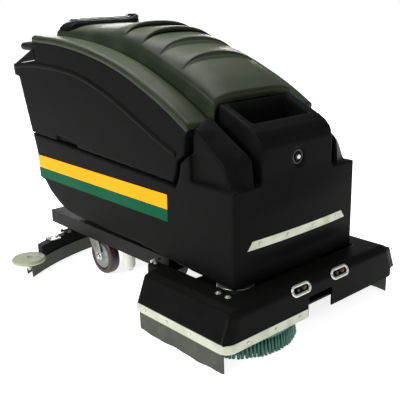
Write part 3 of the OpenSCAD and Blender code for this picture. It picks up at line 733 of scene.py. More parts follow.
@dataclass
class SolutionTank:
    """The lower tank: hull, nose, humps, strip, latch and fittings."""

    bow: float = 14.0            # how far the front bulges at its middle
    voxel: float = 5.0
    hump_in: float = 213.0
    hump_out: float = 291.0
    strip_t: float = 3.2
    strip_z: Flat = (340.0, 370.0)
    strip_reach: Flat = (256.0, 233.0)    # half its length at its lower and upper edge
    screw_z: float = 355.0
    latch_at: Point = (-8.0, 0.0, 612.0)
    cap_at: Flat = (-120.0, 95.0)
    exhaust_at: Point = (-120.0, 20.0, 660.0)
    bowl_at: Flat = (-710.0, -224.0)

    def bowed(self, y: float, z: float) -> float:
        """How far the front face stands forward at a height and distance from the middle."""
        rise = smooth(268, 335, z) * (1 - smooth(440, 590, z))
        return self.bow * rise * max(1 - (y / TANK_HALF) ** 2, 0)

    def shell(self) -> None:
        """Moulds the hull, with the nose recess and the two slanting humps."""
        shape = Shape()
        shape.node("solution_tank")
        hull = shape.thing("solution_tank_hull")
        cutter = Shape()
        for side in (-1, 1):
            near, far = sorted((side * (NOSE_HALF + 3), side * (TANK_HALF + 6)))
            cutter.prism([(-206, 549), (60, 549), (60, 830), (-206, 830)], near, far)
        carve(hull, cutter)
        parts = Shape()
        parts.bm.from_mesh(hull.data)
        bpy.data.objects.remove(hull)
        bmesh.ops.transform(parts.bm, matrix=TO_FRAME.inverted(), verts=parts.bm.verts)
        self.humps(parts)
        made = parts.thing("solution_tank_shell")
        remould(made, self.voxel, 9)
        self.shape_front(made)
        thin_out(made, 0.4)
        dress(made, BLACK_POLYETHYLENE, "chassis", ["solution_tank"])

    def humps(self, parts: Shape) -> None:
        """Adds the two humps, whose tops slant outward and down."""
        outer = [(-214, 500), (-214, 640), (-208, 724), (-190, 716), (-75, 628), (-58, 610),
                 (-42, 575), (-30, 545), (-30, 500)]
        inner = [(-214, 500), (-214, 640), (-208, 760), (-150, 724), (-24, 650), (-8, 636),
                 (-4, 600), (-3, 545), (-3, 500)]
        for side in (-1, 1):
            rings = []
            for share in (0, 0.25, 0.5, 0.75, 1):
                y = side * (self.hump_in + (self.hump_out - self.hump_in) * share)
                rings.append([(a[0] + (b[0] - a[0]) * share, y, a[1] + (b[1] - a[1]) * share)
                              for a, b in zip(inner, outer)])
            parts.loft(rings)

    def shape_front(self, made: bpy.types.Object) -> None:
        """Bulges the front face of the finished skin."""
        for v in made.data.vertices:
            x = v.co.x / MM - FRONT_X
            reach = smooth(-90, -4, x)
            if reach > 0:
                v.co.x += self.bowed(v.co.y / MM, v.co.z / MM) * reach * MM

    def strip(self) -> None:
        """Bends the bright strip round the front, with slanting ends, and screws it on."""
        shape = Shape()
        low, high = self.strip_z
        rows = []
        for k in range(41):
            share = -1 + 2 * k / 40
            y0, y1 = share * self.strip_reach[0], share * self.strip_reach[1]
            back0, back1 = self.bowed(y0, low) + 0.2, self.bowed(y1, high) + 0.2
            rows.append([(back0, y0, low), (back0 + self.strip_t, y0, low),
                         (back1 + self.strip_t, y1, high), (back1, y1, high)])
        shape.loft(rows)
        made = shape.thing("front_rub_strip")
        soften(made, 0.8)
        dress(made, ALUMINIUM_TRIM, "chassis", ["front_strip"])
        heads = Shape()
        for y in (-200, -68, 68, 200):
            face = self.bowed(y, self.screw_z) + self.strip_t
            heads.lathe([(0, 0), (6.2, 0), (6.2, 0.8), (5.0, 2.4), (2.2, 3.0), (2.0, 1.4),
                         (0, 1.4)], (face, y, self.screw_z), (1, 0, 0), 24)
        dress(heads.thing("front_strip_pan_heads"), ZINC_STEEL, "chassis",
              ["front_strip_screws"])

    def latch(self) -> None:
        """Makes the bright turn latch in its dark collar."""
        collar = Shape()
        collar.ring([(20, 0), (26, 0), (26, 2.5), (23.5, 4), (20, 3)], self.latch_at,
                    (1, 0, 0), 48)
        dress(collar.thing("nose_latch_collar"), CONTROL_PLASTIC, "chassis")
        shape = Shape()
        shape.lathe([(0, -50), (5.9, -50), (5.9, 0), (9, 0), (9, 7), (7, 10), (0, 10)],
                    self.latch_at, (1, 0, 0), 32)
        made = shape.thing("nose_turn_latch")
        soften(made, 0.8)
        dress(made, ZINC_STEEL, "nose_latch", ["nose_latch"])

    def fill_cap(self) -> None:
        """Makes the ribbed fill cap and its grip bar."""
        shape = Shape()
        cx, cy = self.cap_at
        shape.lathe([(0, 632), (30, 632), (30, 652.5), (38, 653), (39, 656), (39, 671), (36, 675),
                     (10, 677), (0, 677)], (cx, cy, 0), (0, 0, 1), 72)
        for k in range(24):
            a = 2 * math.pi * k / 24
            x, y = cx + 39 * math.cos(a), cy + 39 * math.sin(a)
            shape.tube([(x, y, 656), (x, y, 671)], 1.4, 1.4, 8, up=(1, 0, 0))
        shape.loft([[(cx + 30 * s, cy - w, 675), (cx + 30 * s, cy + w, 675),
                     (cx + 30 * s, cy + w * 0.6, h), (cx + 30 * s, cy - w * 0.6, h)]
                    for s, w, h in ((-1, 3, 678), (-0.8, 4, 686), (0, 5, 688), (0.8, 4, 686),
                                    (1, 3, 678))])
        made = shape.thing("fill_cap_ribbed")
        soften(made, 0.6)
        dress(made, CONTROL_PLASTIC, "fill_cap", ["fill_cap"])

    def exhaust(self) -> None:
        """Makes the bent exhaust stub in the recess, with a bead round it."""
        shape = Shape()
        path = smooth_path([(-120, 20, 652), (-120, 20, 672), (-120, 14, 682), (-120, -4, 686),
                            (-120, -8, 686)], 6)
        shape.tube(path, 20, 20, 28, up=(1, 0, 0))
        shape.ring([(20, -4), (22, -4), (22.6, 0), (22, 4), (20, 4)], self.exhaust_at,
                   (0, 0, 1), 48)
        made = shape.thing("exhaust_elbow_stub")
        dress(made, CONTROL_PLASTIC, "chassis", ["exhaust_elbow"])

    def filter_bowl(self) -> None:
        """Makes the milky filter bowl with its ribbed head and drain knob."""
        shape = Shape()
        cx, cy = self.bowl_at
        shape.lathe([(0, 54), (10, 54), (12, 56), (12, 62), (18, 64), (23, 70), (25, 80),
                     (25.5, 138), (25.5, 140), (29, 141), (30, 144), (30, 164), (28, 169),
                     (20, 170), (0, 170)], (cx, cy, 0), (0, 0, 1), 56)
        for k in range(20):
            a = 2 * math.pi * k / 20
            x, y = cx + 30 * math.cos(a), cy + 30 * math.sin(a)
            shape.tube([(x, y, 145), (x, y, 163)], 1.5, 1.5, 8, up=(1, 0, 0))
        shape.box((cx - 20, cy, 168), (cx + 20, cy + 30, 172))
        made = shape.thing("solution_filter_bowl")
        dress(made, FILTER_PLASTIC, "chassis", ["solution_filter"])

    def build(self) -> None:
        """Makes every piece of the tank."""
        self.shell()
        self.strip()
        self.latch()
        self.fill_cap()
        self.exhaust()
        self.filter_bowl()


@dataclass
class RecoveryTank:
    """The upper, tilting tank with the bead along its sides and the drain stub."""

    voxel: float = 4.0
    drain_at: Point = (-1191.0, 180.0, 700.0)

    def shell(self) -> None:
        """Moulds the tank from its CAD form."""
        shape = Shape()
        shape.node("recovery_tank")
        made = shape.thing("recovery_tank_shell")
        remould(made, self.voxel, 8)
        thin_out(made, 0.3)
        dress(made, BLACK_POLYETHYLENE, "tank", ["recovery_tank"])

    def beads(self) -> None:
        """Runs the raised bead in an arc along both sides."""
        shape = Shape()
        y = TANK_HALF - 1.0
        line = smooth_path([(-1378, y, 858), (-1264, y, 869), (-1152, y, 872), (-991, y, 866),
                            (-844, y, 847), (-709, y, 809), (-585, y, 762), (-468, y, 710),
                            (-358, y, 661), (-276, y, 628)], 6)
        shape.tube(line, 6.0, 11.5, 16)
        shape.both_sides()
        made = shape.thing("recovery_tank_beads")
        dress(made, BLACK_POLYETHYLENE, "tank")

    def drain(self) -> None:
        """Makes the drain stub with its flange, hose barbs and a bore."""
        shape = Shape()
        profile = [(13.2, 1), (13.2, 175), (18.2, 175), (19, 172), (18, 165), (19, 163), (18, 156),
                   (19, 154), (18.4, 148), (18.8, 143), (25, 143), (25, 134), (17, 134), (17, 1)]
        shape.ring(profile, self.drain_at, (-1, 0, 0), 56)
        made = shape.thing("drain_stub_barbed")
        soften(made, 0.6)
        dress(made, CONTROL_PLASTIC, "tank", ["drain_port"])

    def build(self) -> None:
        """Makes every piece of the tank."""
        self.shell()
        self.beads()
        self.drain()


@dataclass
class Lid:
    """The lid: flat side bands, a groove, and a louvred crown that swells to the front."""

    crown: float = 190.0         # half width of the crown
    groove: float = 215.0        # where the side band ends
    skirt: float = 15.0          # how far the edge turns down
    step: float = 19.0           # height of a louvre at its middle
    step_half: float = 176.0     # where a louvre has died away
    bulge: float = 26.0          # how far a louvre's middle lies behind its ends
    wall: float = 6.0
    front: float = -213.0
    rear: float = -1188.0
    steps_at: tuple[float, ...] = (-722.0, -612.0, -506.0, -384.0)
    band_line: tuple[Flat, ...] = ((-1190, 990), (-972, 979), (-759, 950), (-571, 903),
                                   (-401, 836), (-296, 785), (-212, 736))
    rise_line: tuple[Flat, ...] = ((-1190, 1), (-950, 4), (-800, 10), (-650, 18), (-500, 29),
                                   (-350, 41), (-212, 54))
    dome_line: tuple[Flat, ...] = ((-1190, 34), (-1000, 42), (-850, 54), (-715, 63), (-605, 57),
                                   (-500, 46), (-380, 40), (-212, 28))
    seat: float = 1006.5         # height of the flat that the dome's rim stands on
    seat_ends: Flat = (-1088.0, -1070.0)    # where the flat turns up into the crown
    hole: tuple[Point, Point] = ((-1168.0, -132.0, 960.0), (-1110.0, 132.0, 1030.0))

    def top(self, x: float, y: float) -> float:
        """Height of the lid's surface without its louvres."""
        band = curve_at(self.band_line, x)
        far = abs(y)
        if far >= self.groove:
            edge = smooth(TANK_HALF - 12, TANK_HALF, far)
            return band - 5 * (1 - (far - self.groove) / (TANK_HALF - self.groove)) - 5 * edge ** 2
        base = band - 5
        crown_edge = base + 5 + curve_at(self.rise_line, x)
        if far >= self.crown:
            wall = 1 - smooth(self.crown, self.crown + 7, far)
            dip = 7 * smooth(self.crown + 3, self.crown + 9, far) * (1 - smooth(self.groove - 7,
                                                                               self.groove, far))
            return base + (crown_edge - base) * wall - dip
        swell = curve_at(self.dome_line, x) * math.sqrt(1 - (far / (self.crown + 3)) ** 4)
        return crown_edge + swell

    def louvre(self, u: float, y: float) -> float:
        """Extra height of the louvres at a station u along the crown."""
        across = max(1 - (abs(y) / self.step_half) ** 2, 0) ** 0.8
        before = -860.0
        for edge in self.steps_at:
            if u <= edge:
                return self.step * across * smooth(0, 1, (u - before) / (edge - before)) ** 1.3
            before = edge + 4
        return 0.0

    def stations(self) -> list[float]:
        """Where the cross sections lie, with pairs at each louvre's edge."""
        marks = {self.rear, self.rear + 4, self.front - 5, self.front}
        marks |= {self.rear + 8 * k for k in range(1, int((self.front - self.rear) / 8))}
        marks = {m for m in marks if all(not -7 < m - e < 10 for e in self.steps_at)}
        for edge in self.steps_at:
            marks |= {edge - 5, edge - 0.6, edge + 1.2, edge + 4, edge + 8}
        return sorted(marks)

    def across(self) -> list[float]:
        """Distances from the middle of the points of a cross section."""
        fine = [TANK_HALF, TANK_HALF - 2, TANK_HALF - 5, TANK_HALF - 9, TANK_HALF - 14, 290, 275,
                258, 240, 226, 218, 215, 212, 208, 203, 200, 198, 196, 194, 192, 190.5, 189, 186,
                182, 177]
        fine += [170 - 8 * k for k in range(22)]
        half = [v for v in fine if v > 0.5]
        return [-v for v in half] + [0.0] + list(reversed(half))

    def shell(self) -> None:
        """Draws the lid's skin section by section and gives it a thickness."""
        shape = Shape()
        rows = []
        for u in self.stations():
            in_crown = smooth(-900, -780, u) * (1 - smooth(-330, -240, u))
            row = []
            for y in self.across():
                bend = self.bulge * max(1 - (abs(y) / self.step_half) ** 2, 0) * in_crown
                x = u - bend
                z = self.top(x, y) + self.louvre(u, y)
                if x < self.seat_ends[1]:
                    z += (min(z, self.seat) - z) * (1 - smooth(*self.seat_ends, x))
                row.append((x, y, z))
            low = row[0][2] - self.skirt
            rows.append([(row[0][0], row[0][1], low)] + row + [(row[-1][0], row[-1][1], low)])
        edge = rows[-1]
        lip = [[(p[0] + out, p[1], p[2] - drop) for p in edge]
               for out, drop in ((1, 1.5), (1.5, 4))]
        down = [(p[0] + 1.5, p[1], p[2] - 14 if abs(p[1]) > 196 else p[2] - 26) for p in edge]
        back = [(p[0] - 1.5, p[1], p[2] - 2.5) for p in rows[0]]
        tail = [(p[0] - 2.0, p[1], min(p[2] - 12, 978)) for p in rows[0]]
        shape.sheet([tail, back] + rows + lip + [down])
        made = shape.thing("lid_shell")
        skin = made.modifiers.new("skin", "SOLIDIFY")
        skin.thickness = self.wall * MM
        skin.offset = -1 if made.data.polygons[len(made.data.polygons) // 2].normal.z > 0 else 1
        tool = Shape()
        tool.box(*self.hole)
        carve(made, tool)
        dress(made, LID_POLYETHYLENE, "lid", ["lid"])

    def knuckles(self) -> None:
        """Makes the lid's own hinge barrels with their leaves."""
        shape = Shape()
        for y in (140, 180):
            shape.ring([(3.05, 0.5), (7, 0.5), (7, 19.5), (3.05, 19.5)], (-1198, y, 973),
                       (0, 1, 0), 28)
            shape.box((-1198, y + 0.5, 977.5), (-1187, y + 19.5, 980))
        shape.both_sides()
        made = shape.thing("lid_hinge_knuckles")
        dress(made, ZINC_STEEL, "lid")

    def vent_plug(self) -> None:
        """Sets a small dark plug in the band of the crown behind the first louvre."""
        shape = Shape()
        x, y = -640.0, -176.0
        z = self.top(x, y)
        shape.lathe([(0, -4), (13, -4), (13, 0), (11, 1.2), (0, 1.6)], (x, y + 6, z + 4),
                    (0.05, -0.5, 1), 32)
        dress(shape.thing("lid_vent_plug"), CONTROL_PLASTIC, "lid")

    def build(self) -> None:
        """Makes every piece of the lid."""
        self.shell()
        self.knuckles()
        self.vent_plug()


def round_plan(x0: float, x1: float, half: float, radius: float, z: float) -> list[Point]:
    """A rounded rectangle in plan, about the middle of the machine.

    Args:
        x0: its rear end.
        x1: its front end.
        half: half its width.
        radius: radius of its corners.
        z: its height.

    Returns:
        The points of the outline.
    """
    corners = (((x1 - radius, half - radius), 0), ((x0 + radius, half - radius), 90),
               ((x0 + radius, radius - half), 180), ((x1 - radius, radius - half), 270))
    return [(x, y, z) for middle, turn in corners
            for x, y in bar_arc(middle, radius, turn, turn + 90, 6)]


@dataclass
class Dome:
    """The clear inspection dome across the lid's rear, in a raised black rim."""

    rear: float = -1186.0
    front: float = -1092.0
    half: float = 190.0
    middle: float = -1139.0
    pin: Flat = (168.0, 1054.0)
    arms: tuple[Flat, ...] = ((-1176.0, -1166.3), (-1111.7, -1102.0))

    def rim(self) -> None:
        """Makes the moulded rim and the hinge block at its left end."""
        shape = Shape()
        steps = ((0, 0, 14, 1004), (0, 0, 14, 1018), (1, 4, 13, 1023), (4, 20, 12, 1035),
                 (9, 34, 11, 1041.5), (13, 44, 9, 1043), (16, 52, 8, 1042), (18, 57, 7, 1036),
                 (18, 57, 7, 1001))
        rings = [round_plan(self.rear + inset, self.front - inset, self.half - back, radius, z)
                 for inset, back, radius, z in steps]
        shape.loft(rings, wrap=True)
        made = shape.thing("dome_rim_moulding")
        dress(made, BLACK_POLYETHYLENE, "lid", ["dome_rim"])
        block = Shape()
        outline = [(154, 1030), (155, 1046), (158, 1051), (178, 1051), (184, 1046), (187, 1030),
                   (187, 1020), (154, 1020)]
        block.loft([[(x, y, z) for y, z in outline] for x in (-1164, -1114)])
        y, z = self.pin
        block.ring([(4.05, -25), (10.5, -25), (12, -23.5), (12, 23.5), (10.5, 25), (4.05, 25)],
                   (self.middle, y, z), (1, 0, 0), 40)
        hinge = block.thing("dome_hinge_block")
        soften(hinge, 1.5, 3)
        dress(hinge, BLACK_POLYETHYLENE, "lid")

    def lens(self) -> None:
        """Makes the clear dome and gives it its two hinge arms."""
        shape = Shape()
        rings = [round_plan(-1176, -1102, 146, 12, z) for z in (1044.4, 1047)]
        for share in (0.08, 0.16, 0.3, 0.5, 0.7, 0.9):
            rise = 1047 + 13 * math.sqrt(1 - (1 - share) ** 3)
            rings.append(round_plan(-1176 + 34 * share, -1102 - 34 * share, 146 - 60 * share,
                                    12 - 9 * share, rise))
        shape.loft(rings)
        made = shape.thing("clear_dome_lens")
        dress(made, CLEAR_PLASTIC, "dome", ["clear_dome"])
        y, z = self.pin
        outline = [(136, 1045.2), (y, 1045.4), (y + 7, 1048.5), (y + 8.6, z), (y + 6, z + 6),
                   (y, z + 8.5), (y - 10, z + 5), (136, 1049.5)]
        hinge = Shape()
        for ends in self.arms:
            hinge.loft([[(x, a, b) for a, b in outline] for x in ends])
        hinge.lathe([(0, -37), (3.95, -37), (3.95, 37), (0, 37)], (self.middle, y, z),
                    (1, 0, 0), 24)
        arms = hinge.thing("dome_hinge_arms")
        soften(arms, 0.8)
        dress(arms, CONTROL_PLASTIC, "dome")

    def build(self) -> None:
        """Makes the rim and the lens."""
        self.rim()
        self.lens()


# ---------- console and handle ----------

@dataclass
class Console:
    """The sloping control panel and everything on it."""

    origin: Point = (-1290.0, 0.0, 882.0)
    tilt: float = -7.8
    row: float = 20.0            # how far up the slope the controls sit

    def placed(self, shape: Shape, name: str) -> bpy.types.Object:
        """Moves a shape from the panel's own place onto the slope."""
        shape.tilted(self.origin, self.tilt)
        return shape.thing(name)

    def panel(self) -> None:
        """Raises a rolled border and printed ticks on the panel, which stays as it is."""
        border = Shape()
        plan = [(x, y, 10.4) for x, y, _ in round_plan(-80, 78, 288, 12, 0)]
        border.tube(plan, 2.2, 1.6, 10, wrap=True)
        dress(self.placed(border, "console_border"), CONTROL_PLASTIC, "tank")
        prints = Shape()
        for y, r in ((-60, 27), (-130, 27)):
            for k in range(11):
                a = math.radians(-135 + 27 * k)
                c, s = math.cos(a), math.sin(a)
                prints.tube([(self.row + r * c, y + r * s, 10.3),
                             (self.row + (r + 5) * c, y + (r + 5) * s, 10.3)], 0.8, 0.3, 6)
        for y in (60, 110, 190):
            prints.box((self.row - 26, y - 12, 10.05), (self.row - 23, y + 12, 10.4))
        dress(self.placed(prints, "console_print"), PALE_PRINT, "tank")
        screws = Shape()
        for x in (-72, 70):
            for y in (-280, -95, 85, 280):
                screws.lathe([(0, 10.1), (4.5, 10.1), (4.2, 12), (2, 13), (0, 13)], (x, y, 0),
                             (0, 0, 1), 16)
        dress(self.placed(screws, "console_screws"), ZINC_STEEL, "tank")

    def gauge(self) -> None:
        """Makes the charge gauge: a bezel with a row of small lamps."""
        shape = Shape()
        shape.box((self.row - 18, -28, 10.1), (self.row + 18, 28, 14))
        made = self.placed(shape, "charge_gauge_bezel")
        soften(made, 1.2)
        dress(made, CONTROL_PLASTIC, "tank", ["charge_gauge"])
        for name, finish, first, last in (("gauge_lamps_green", GREEN_LAMP, 3, 9),
                                          ("gauge_lamps_yellow", YELLOW_ABS, 1, 3),
                                          ("gauge_lamps_red", RED_PLASTIC, 0, 1)):
            lamps = Shape()
            for k in range(first, last):
                y = -20 + k * 5
                lamps.box((self.row - 6, y - 1.7, 14), (self.row + 8, y + 1.7, 14.9))
            dress(self.placed(lamps, name), finish, "tank")

    def key(self) -> None:
        """Makes the key switch with a key that has a holed bow."""
        shape = Shape()
        x, y = self.row, 190
        shape.lathe([(0, -4), (7.9, -4), (7.9, 10.3), (11, 10.3), (11, 13), (9, 14.5), (0, 14.5)],
                    (x, y, 0), (0, 0, 1), 40)
        shape.box((x - 4, y - 1.2, 14), (x + 4, y + 1.2, 24))
        shape.ring([(4, -1.6), (11, -1.6), (12, -0.8), (12, 0.8), (11, 1.6), (4, 1.6)],
                   (x, y, 32), (0, 1, 0), 32)
        made = self.placed(shape, "key_switch_and_key")
        soften(made, 0.4)
        dress(made, ZINC_STEEL, "key", ["key_switch"])

    def rocker(self, y: float, body: str, node: str) -> None:
        """Makes one rocker switch with a hollowed face."""
        shape = Shape()
        x = self.row
        shape.loft([[(x - 9, y + d, 3), (x + 9, y + d, 3), (x + 9, y + d, h), (x - 9, y + d, h)]
                    for d, h in ((-15, 14.5), (-10, 13), (-4, 11.6), (0, 11.2), (4, 11.6),
                                 (10, 13), (15, 14.5))])
        shape.lathe([(0, 0), (2.9, 0), (2.9, 30), (0, 30)], (x, y - 15, 4), (0, 1, 0), 20)
        made = self.placed(shape, node + "_rocker")
        soften(made, 0.7)
        dress(made, CONTROL_PLASTIC, body, [node])
        lamp = Shape()
        lamp.box((x - 4, y + 8, 13.2), (x + 4, y + 10.5, 13.9))
        dress(self.placed(lamp, node + "_lamp"), GREEN_LAMP, body)

    def knob(self, y: float, body: str, node: str) -> None:
        """Makes one fluted knob with a pale pointer."""
        shape = Shape()
        x = self.row
        rings = []
        for h, r in ((11, 21), (13, 21.2), (27, 19), (30, 17.5), (31.5, 14)):
            ring = []
            for k in range(96):
                a = 2 * math.pi * k / 96
                depth = 0.9 * (1 - math.cos(a * 16)) / 2 if h < 30 else 0
                ring.append((x + (r - depth) * math.cos(a), y + (r - depth) * math.sin(a), h))
            rings.append(ring)
        shape.loft(rings)
        shape.lathe([(0, -6), (6.9, -6), (6.9, 12), (0, 12)], (x, y, 0), (0, 0, 1), 32)
        dress(self.placed(shape, node + "_fluted"), CONTROL_PLASTIC, body,
              [node])
        mark = Shape()
        mark.box((x - 1.2, y - 17, 31), (x + 1.2, y - 2, 32.2))
        dress(self.placed(mark, node + "_pointer"), PALE_PRINT, body)

    def stop(self) -> None:
        """Makes the red mushroom stop button and its yellow ring."""
        x, y = self.row, -210
        shape = Shape()
        shape.lathe([(0, -8), (9.9, -8), (9.9, 17), (17, 17.6), (19.6, 20), (20, 24), (17, 28),
                     (9, 30), (0, 30.4)], (x, y, 0), (0, 0, 1), 56)
        dress(self.placed(shape, "stop_button_mushroom"), RED_PLASTIC, "stop_button",
              ["stop_button"])
        ring = Shape()
        ring.ring([(10.2, 10.1), (27, 10.1), (27, 10.6), (25, 10.9), (10.2, 10.9)], (x, y, 0),
                  (0, 0, 1), 56)
        dress(self.placed(ring, "stop_button_ring"), YELLOW_ABS, "tank")

    def lever(self) -> None:
        """Makes the squeegee lever: shaft, ball and cross pin."""
        shape = Shape()
        x, y = 10, 225
        shape.lathe([(0, -16), (3.9, -16), (3.9, 40), (3.4, 44), (5, 46), (9, 48), (12.4, 54),
                     (12.8, 58), (11, 63), (7, 66), (0, 67)], (x, y, 0), (0, 0, 1), 40)
        shape.lathe([(0, 0), (6, 0), (6, 8), (0, 8)], (x, y - 4, -14), (0, 1, 0), 24)
        dress(self.placed(shape, "squeegee_lever_ball"), CONTROL_PLASTIC, "squeegee_lever",
              ["squeegee_lever"])

    def build(self) -> None:
        """Makes every control."""
        self.panel()
        self.gauge()
        self.key()
        self.rocker(60, "brush_switch", "brush_switch")
        self.rocker(110, "vacuum_switch", "vacuum_switch")
        self.knob(-60, "speed_knob", "speed_knob")
        self.knob(-130, "solution_knob", "solution_knob")
        self.stop()
        self.lever()


@dataclass
class Handle:
    """The handlebar with its grips, and the drive paddle."""

    bar_x: float = -1350.0
    bar_z: float = 944.0
    half: float = 284.0
    bend: float = 34.0
    radius: float = 16.0

    def bar(self) -> None:
        """Bends the bar, with a flange at each end."""
        x, z, y, r = self.bar_x, self.bar_z, self.half, self.bend
        corner = [(x + r - r * math.sin(a), y - r + r * math.cos(a), z)
                  for a in (math.radians(7.5 * k) for k in range(13))]
        half = [(-1204, y, z), (-1240, y, z)] + corner + [(x, 120, z)]
        path = half + [(px, -py, pz) for px, py, pz in reversed(half)]
        shape = Shape()
        shape.tube(path, self.radius, self.radius, 32)
        for side in (-1, 1):
            shape.lathe([(0, 0), (18, 0), (18, 4), (17.4, 6.5), (16.4, 8), (0, 8)],
                        (-1194.8, side * y, z), (-1, 0, 0), 40)
        dress(shape.thing("handlebar_tube"), BLACK_STEEL, "tank", ["handlebar"])
        grips = Shape()
        for side in (-1, 1):
            profile = [(0, 0), (18.5, 0), (19.5, 2)]
            for k in range(14):
                start = 6 + 9 * k
                profile += [(19.5, start), (18.3, start + 2), (18.3, start + 4),
                            (19.5, start + 6)]
            profile += [(19.5, 134), (18.5, 136), (0, 136)]
            grips.lathe(profile, (x, side * 40, z), (0, side, 0), 36)
        dress(grips.thing("handlebar_grips"), CONTROL_PLASTIC, "tank")

    def paddle(self) -> None:
        """Makes the drive paddle: a rod along the bar on two clips."""
        shape = Shape()
        x, z = self.bar_x, self.bar_z
        path = smooth_path([(x - 30, -197, z - 18), (x - 30, -120, z - 18), (x - 31, 0, z - 19),
                            (x - 30, 120, z - 18), (x - 30, 197, z - 18)], 6)
        shape.tube(path, 7, 7, 20)
        for side in (-1, 1):
            shape.ring([(16.2, 190), (22, 190), (22, 198), (16.2, 198)], (x, 0, z),
                       (0, side, 0), 40)
            a, b = sorted((side * 190, side * 198))
            shape.prism([(x - 36, z - 24), (x - 12, z - 22), (x - 12, z - 13.6),
                         (x - 30, z - 8)], a, b)
        made = shape.thing("drive_paddle_rod")
        soften(made, 0.8)
        dress(made, ZINC_STEEL, "drive_paddle", ["drive_paddle"])

    def build(self) -> None:
        """Makes the bar and the paddle."""
        self.bar()
        self.paddle()


# ---------- brush deck ----------

@dataclass
class Deck:
    """The deck's moulded cover, rings, skirts, fasteners and brushes."""

    face: float = 110.0
    top: float = 212.0
    half: float = 454.0
    voxel: float = 3.0
    edge_r: float = 30.0         # rounding of the front's upper edge
    plan_r: float = 35.0         # rounding of the front corners in plan
    corner: float = 28.7         # radius inside the front corners
    skirt_out: float = 447.4     # how far out a skirt's outer face hangs
    skirt_t: float = 5.4
    skirt_front: float = 84.0
    ring_at: Flat = (104.0, 193.0)
    ring_lean: float = 25.0      # how far back the rings lean, in degrees

    def cover(self) -> None:
        """Moulds the cover and rounds its front edge and corners broadly."""
        shape = Shape()
        shape.node("deck_cover")
        made = shape.thing("deck_cover_shell")
        remould(made, self.voxel, 6)
        radius = self.edge_r
        for v in made.data.vertices:
            p = Vector((v.co.x / MM - FRONT_X, v.co.y / MM, v.co.z / MM))
            fore, up = p.x - (self.face - radius), p.z - (self.top - radius)
            if fore > 0 and up > 0:
                length = math.hypot(fore, up)
                pull = max(fore, up) / length
                p.x = self.face - radius + fore * pull
                p.z = self.top - radius + up * pull
            self.round_corner(p)
            v.co = ((p.x + FRONT_X) * MM, p.y * MM, p.z * MM)
        thin_out(made, 0.4)
        dress(made, BLACK_POLYETHYLENE, "deck", ["deck_cover"])

    def round_corner(self, p: Vector) -> None:
        """Rounds the front corners in plan where the guards slope."""
        slope = min(max((p.z - 112) / 88, 0), 1)
        fore = p.x - (self.face - self.plan_r)
        out = abs(p.y) - (self.half - 36 * slope - self.plan_r)
        if fore > 0 and out > 0:
            pull = 1 - (1 - max(fore, out) / math.hypot(fore, out)) * smooth(104, 116, p.z)
            p.x += fore * (pull - 1)
            p.y += math.copysign(out * (pull - 1), p.y)

    def rings(self) -> None:
        """Frames each tie-down slot with a bright oval ring, with a brown bolt inside."""
        shape = Shape()
        bolts = Shape()
        lean = math.radians(self.ring_lean)
        for side in (-1, 1):
            y, z = side * self.ring_at[0], self.ring_at[1]
            path = [(self.face - 1 - b * math.sin(lean), y + a, z + b * math.cos(lean)) for a, b in
                    bar_arc((28, 0), 15.5, -90, 90, 12) + bar_arc((-28, 0), 15.5, 90, 270, 12)]
            shape.tube(path, 5.5, 3.6, 12, up=(math.cos(lean), 0, math.sin(lean)), wrap=True)
            bolts.bolt((self.face - 6, y + 18, z), (1, 0, 0), 15, 6)
            bolts.lathe([(0, 0), (6, 0), (6, 7), (0, 7)], (self.face - 6, y - 14, z),
                        (1, 0, 0), 20)
        dress(shape.thing("tie_down_oval_rings"), ZINC_STEEL, "deck",
              ["tie_down_rings"])
        dress(bolts.thing("tie_down_bolts"), BROWN_BOLT, "deck")

    def skirts(self) -> None:
        """Hangs the rubber side skirts, which wave a little along their length."""
        for name, side, rear in (("skirt_left", 1, -515), ("skirt_right", -1, -345)):
            shape = Shape()
            rings = []
            run = self.skirt_front - rear
            count = int(run / 9)
            for k in range(count + 1):
                x = rear + run * k / count
                past = max(x - (self.face - self.plan_r), 0)
                turn = self.corner - math.sqrt(self.corner ** 2 - past ** 2)
                ring = []
                for z, inner in ((100, 0), (60, 0), (30, 0), (1.5, 0),
                                 (1.5, 1), (30, 1), (60, 1), (100, 1)):
                    drop = (100 - z) / 100
                    wave = 2.6 * drop * math.sin(x / 47 + side) * math.sin(x / 19) * side
                    y = side * (self.skirt_out - self.skirt_t * inner - turn) + wave
                    ring.append((x, y, z + 1.2 * drop * math.sin(x / 31)))
                rings.append(ring)
            shape.loft(rings)
            made = shape.thing(name)
            soften(made, 0.8)
            stands = ["side_skirts"] if side == 1 else []
            dress(made, GREY_RUBBER, "deck", stands)

    def fasteners(self) -> None:
        """Bolts the guards down, pins the side and screws the strip on."""
        shape = Shape()
        for x in (-34, 11):
            shape.bolt((x, -350, self.top), (0, 0, 1), 13, 5)
        shape.lathe([(0, 0), (8, 0), (8, 3), (4.8, 4), (4.8, 14), (0, 14)], (-378, -340, self.top),
                    (0, 0, 1), 28)
        shape.tube([(-378, -361, 226), (-378, -340, 227), (-378, -319, 226)], 5, 5, 16,
                   up=(1, 0, 0))
        for x in (-300, -180, -60):
            shape.lathe([(0, 0), (5.4, 0), (4.8, 2), (2, 3), (0, 3)], (x, -self.half - 3, 93),
                        (0, -1, 0), 20)
        for y in (-360, -230, -110):
            shape.lathe([(0, 0), (5.4, 0), (4.8, 2), (2, 3), (0, 3)], (self.face + 3, y, 93),
                        (1, 0, 0), 20)
        shape.lathe([(0, 0), (5, 0), (4, 2), (0, 3)], (self.face, 425, 190), (1, 0, 0), 20)
        dress(shape.thing("deck_bolts_and_pin"), ZINC_STEEL, "deck",
              ["deck_fasteners"])

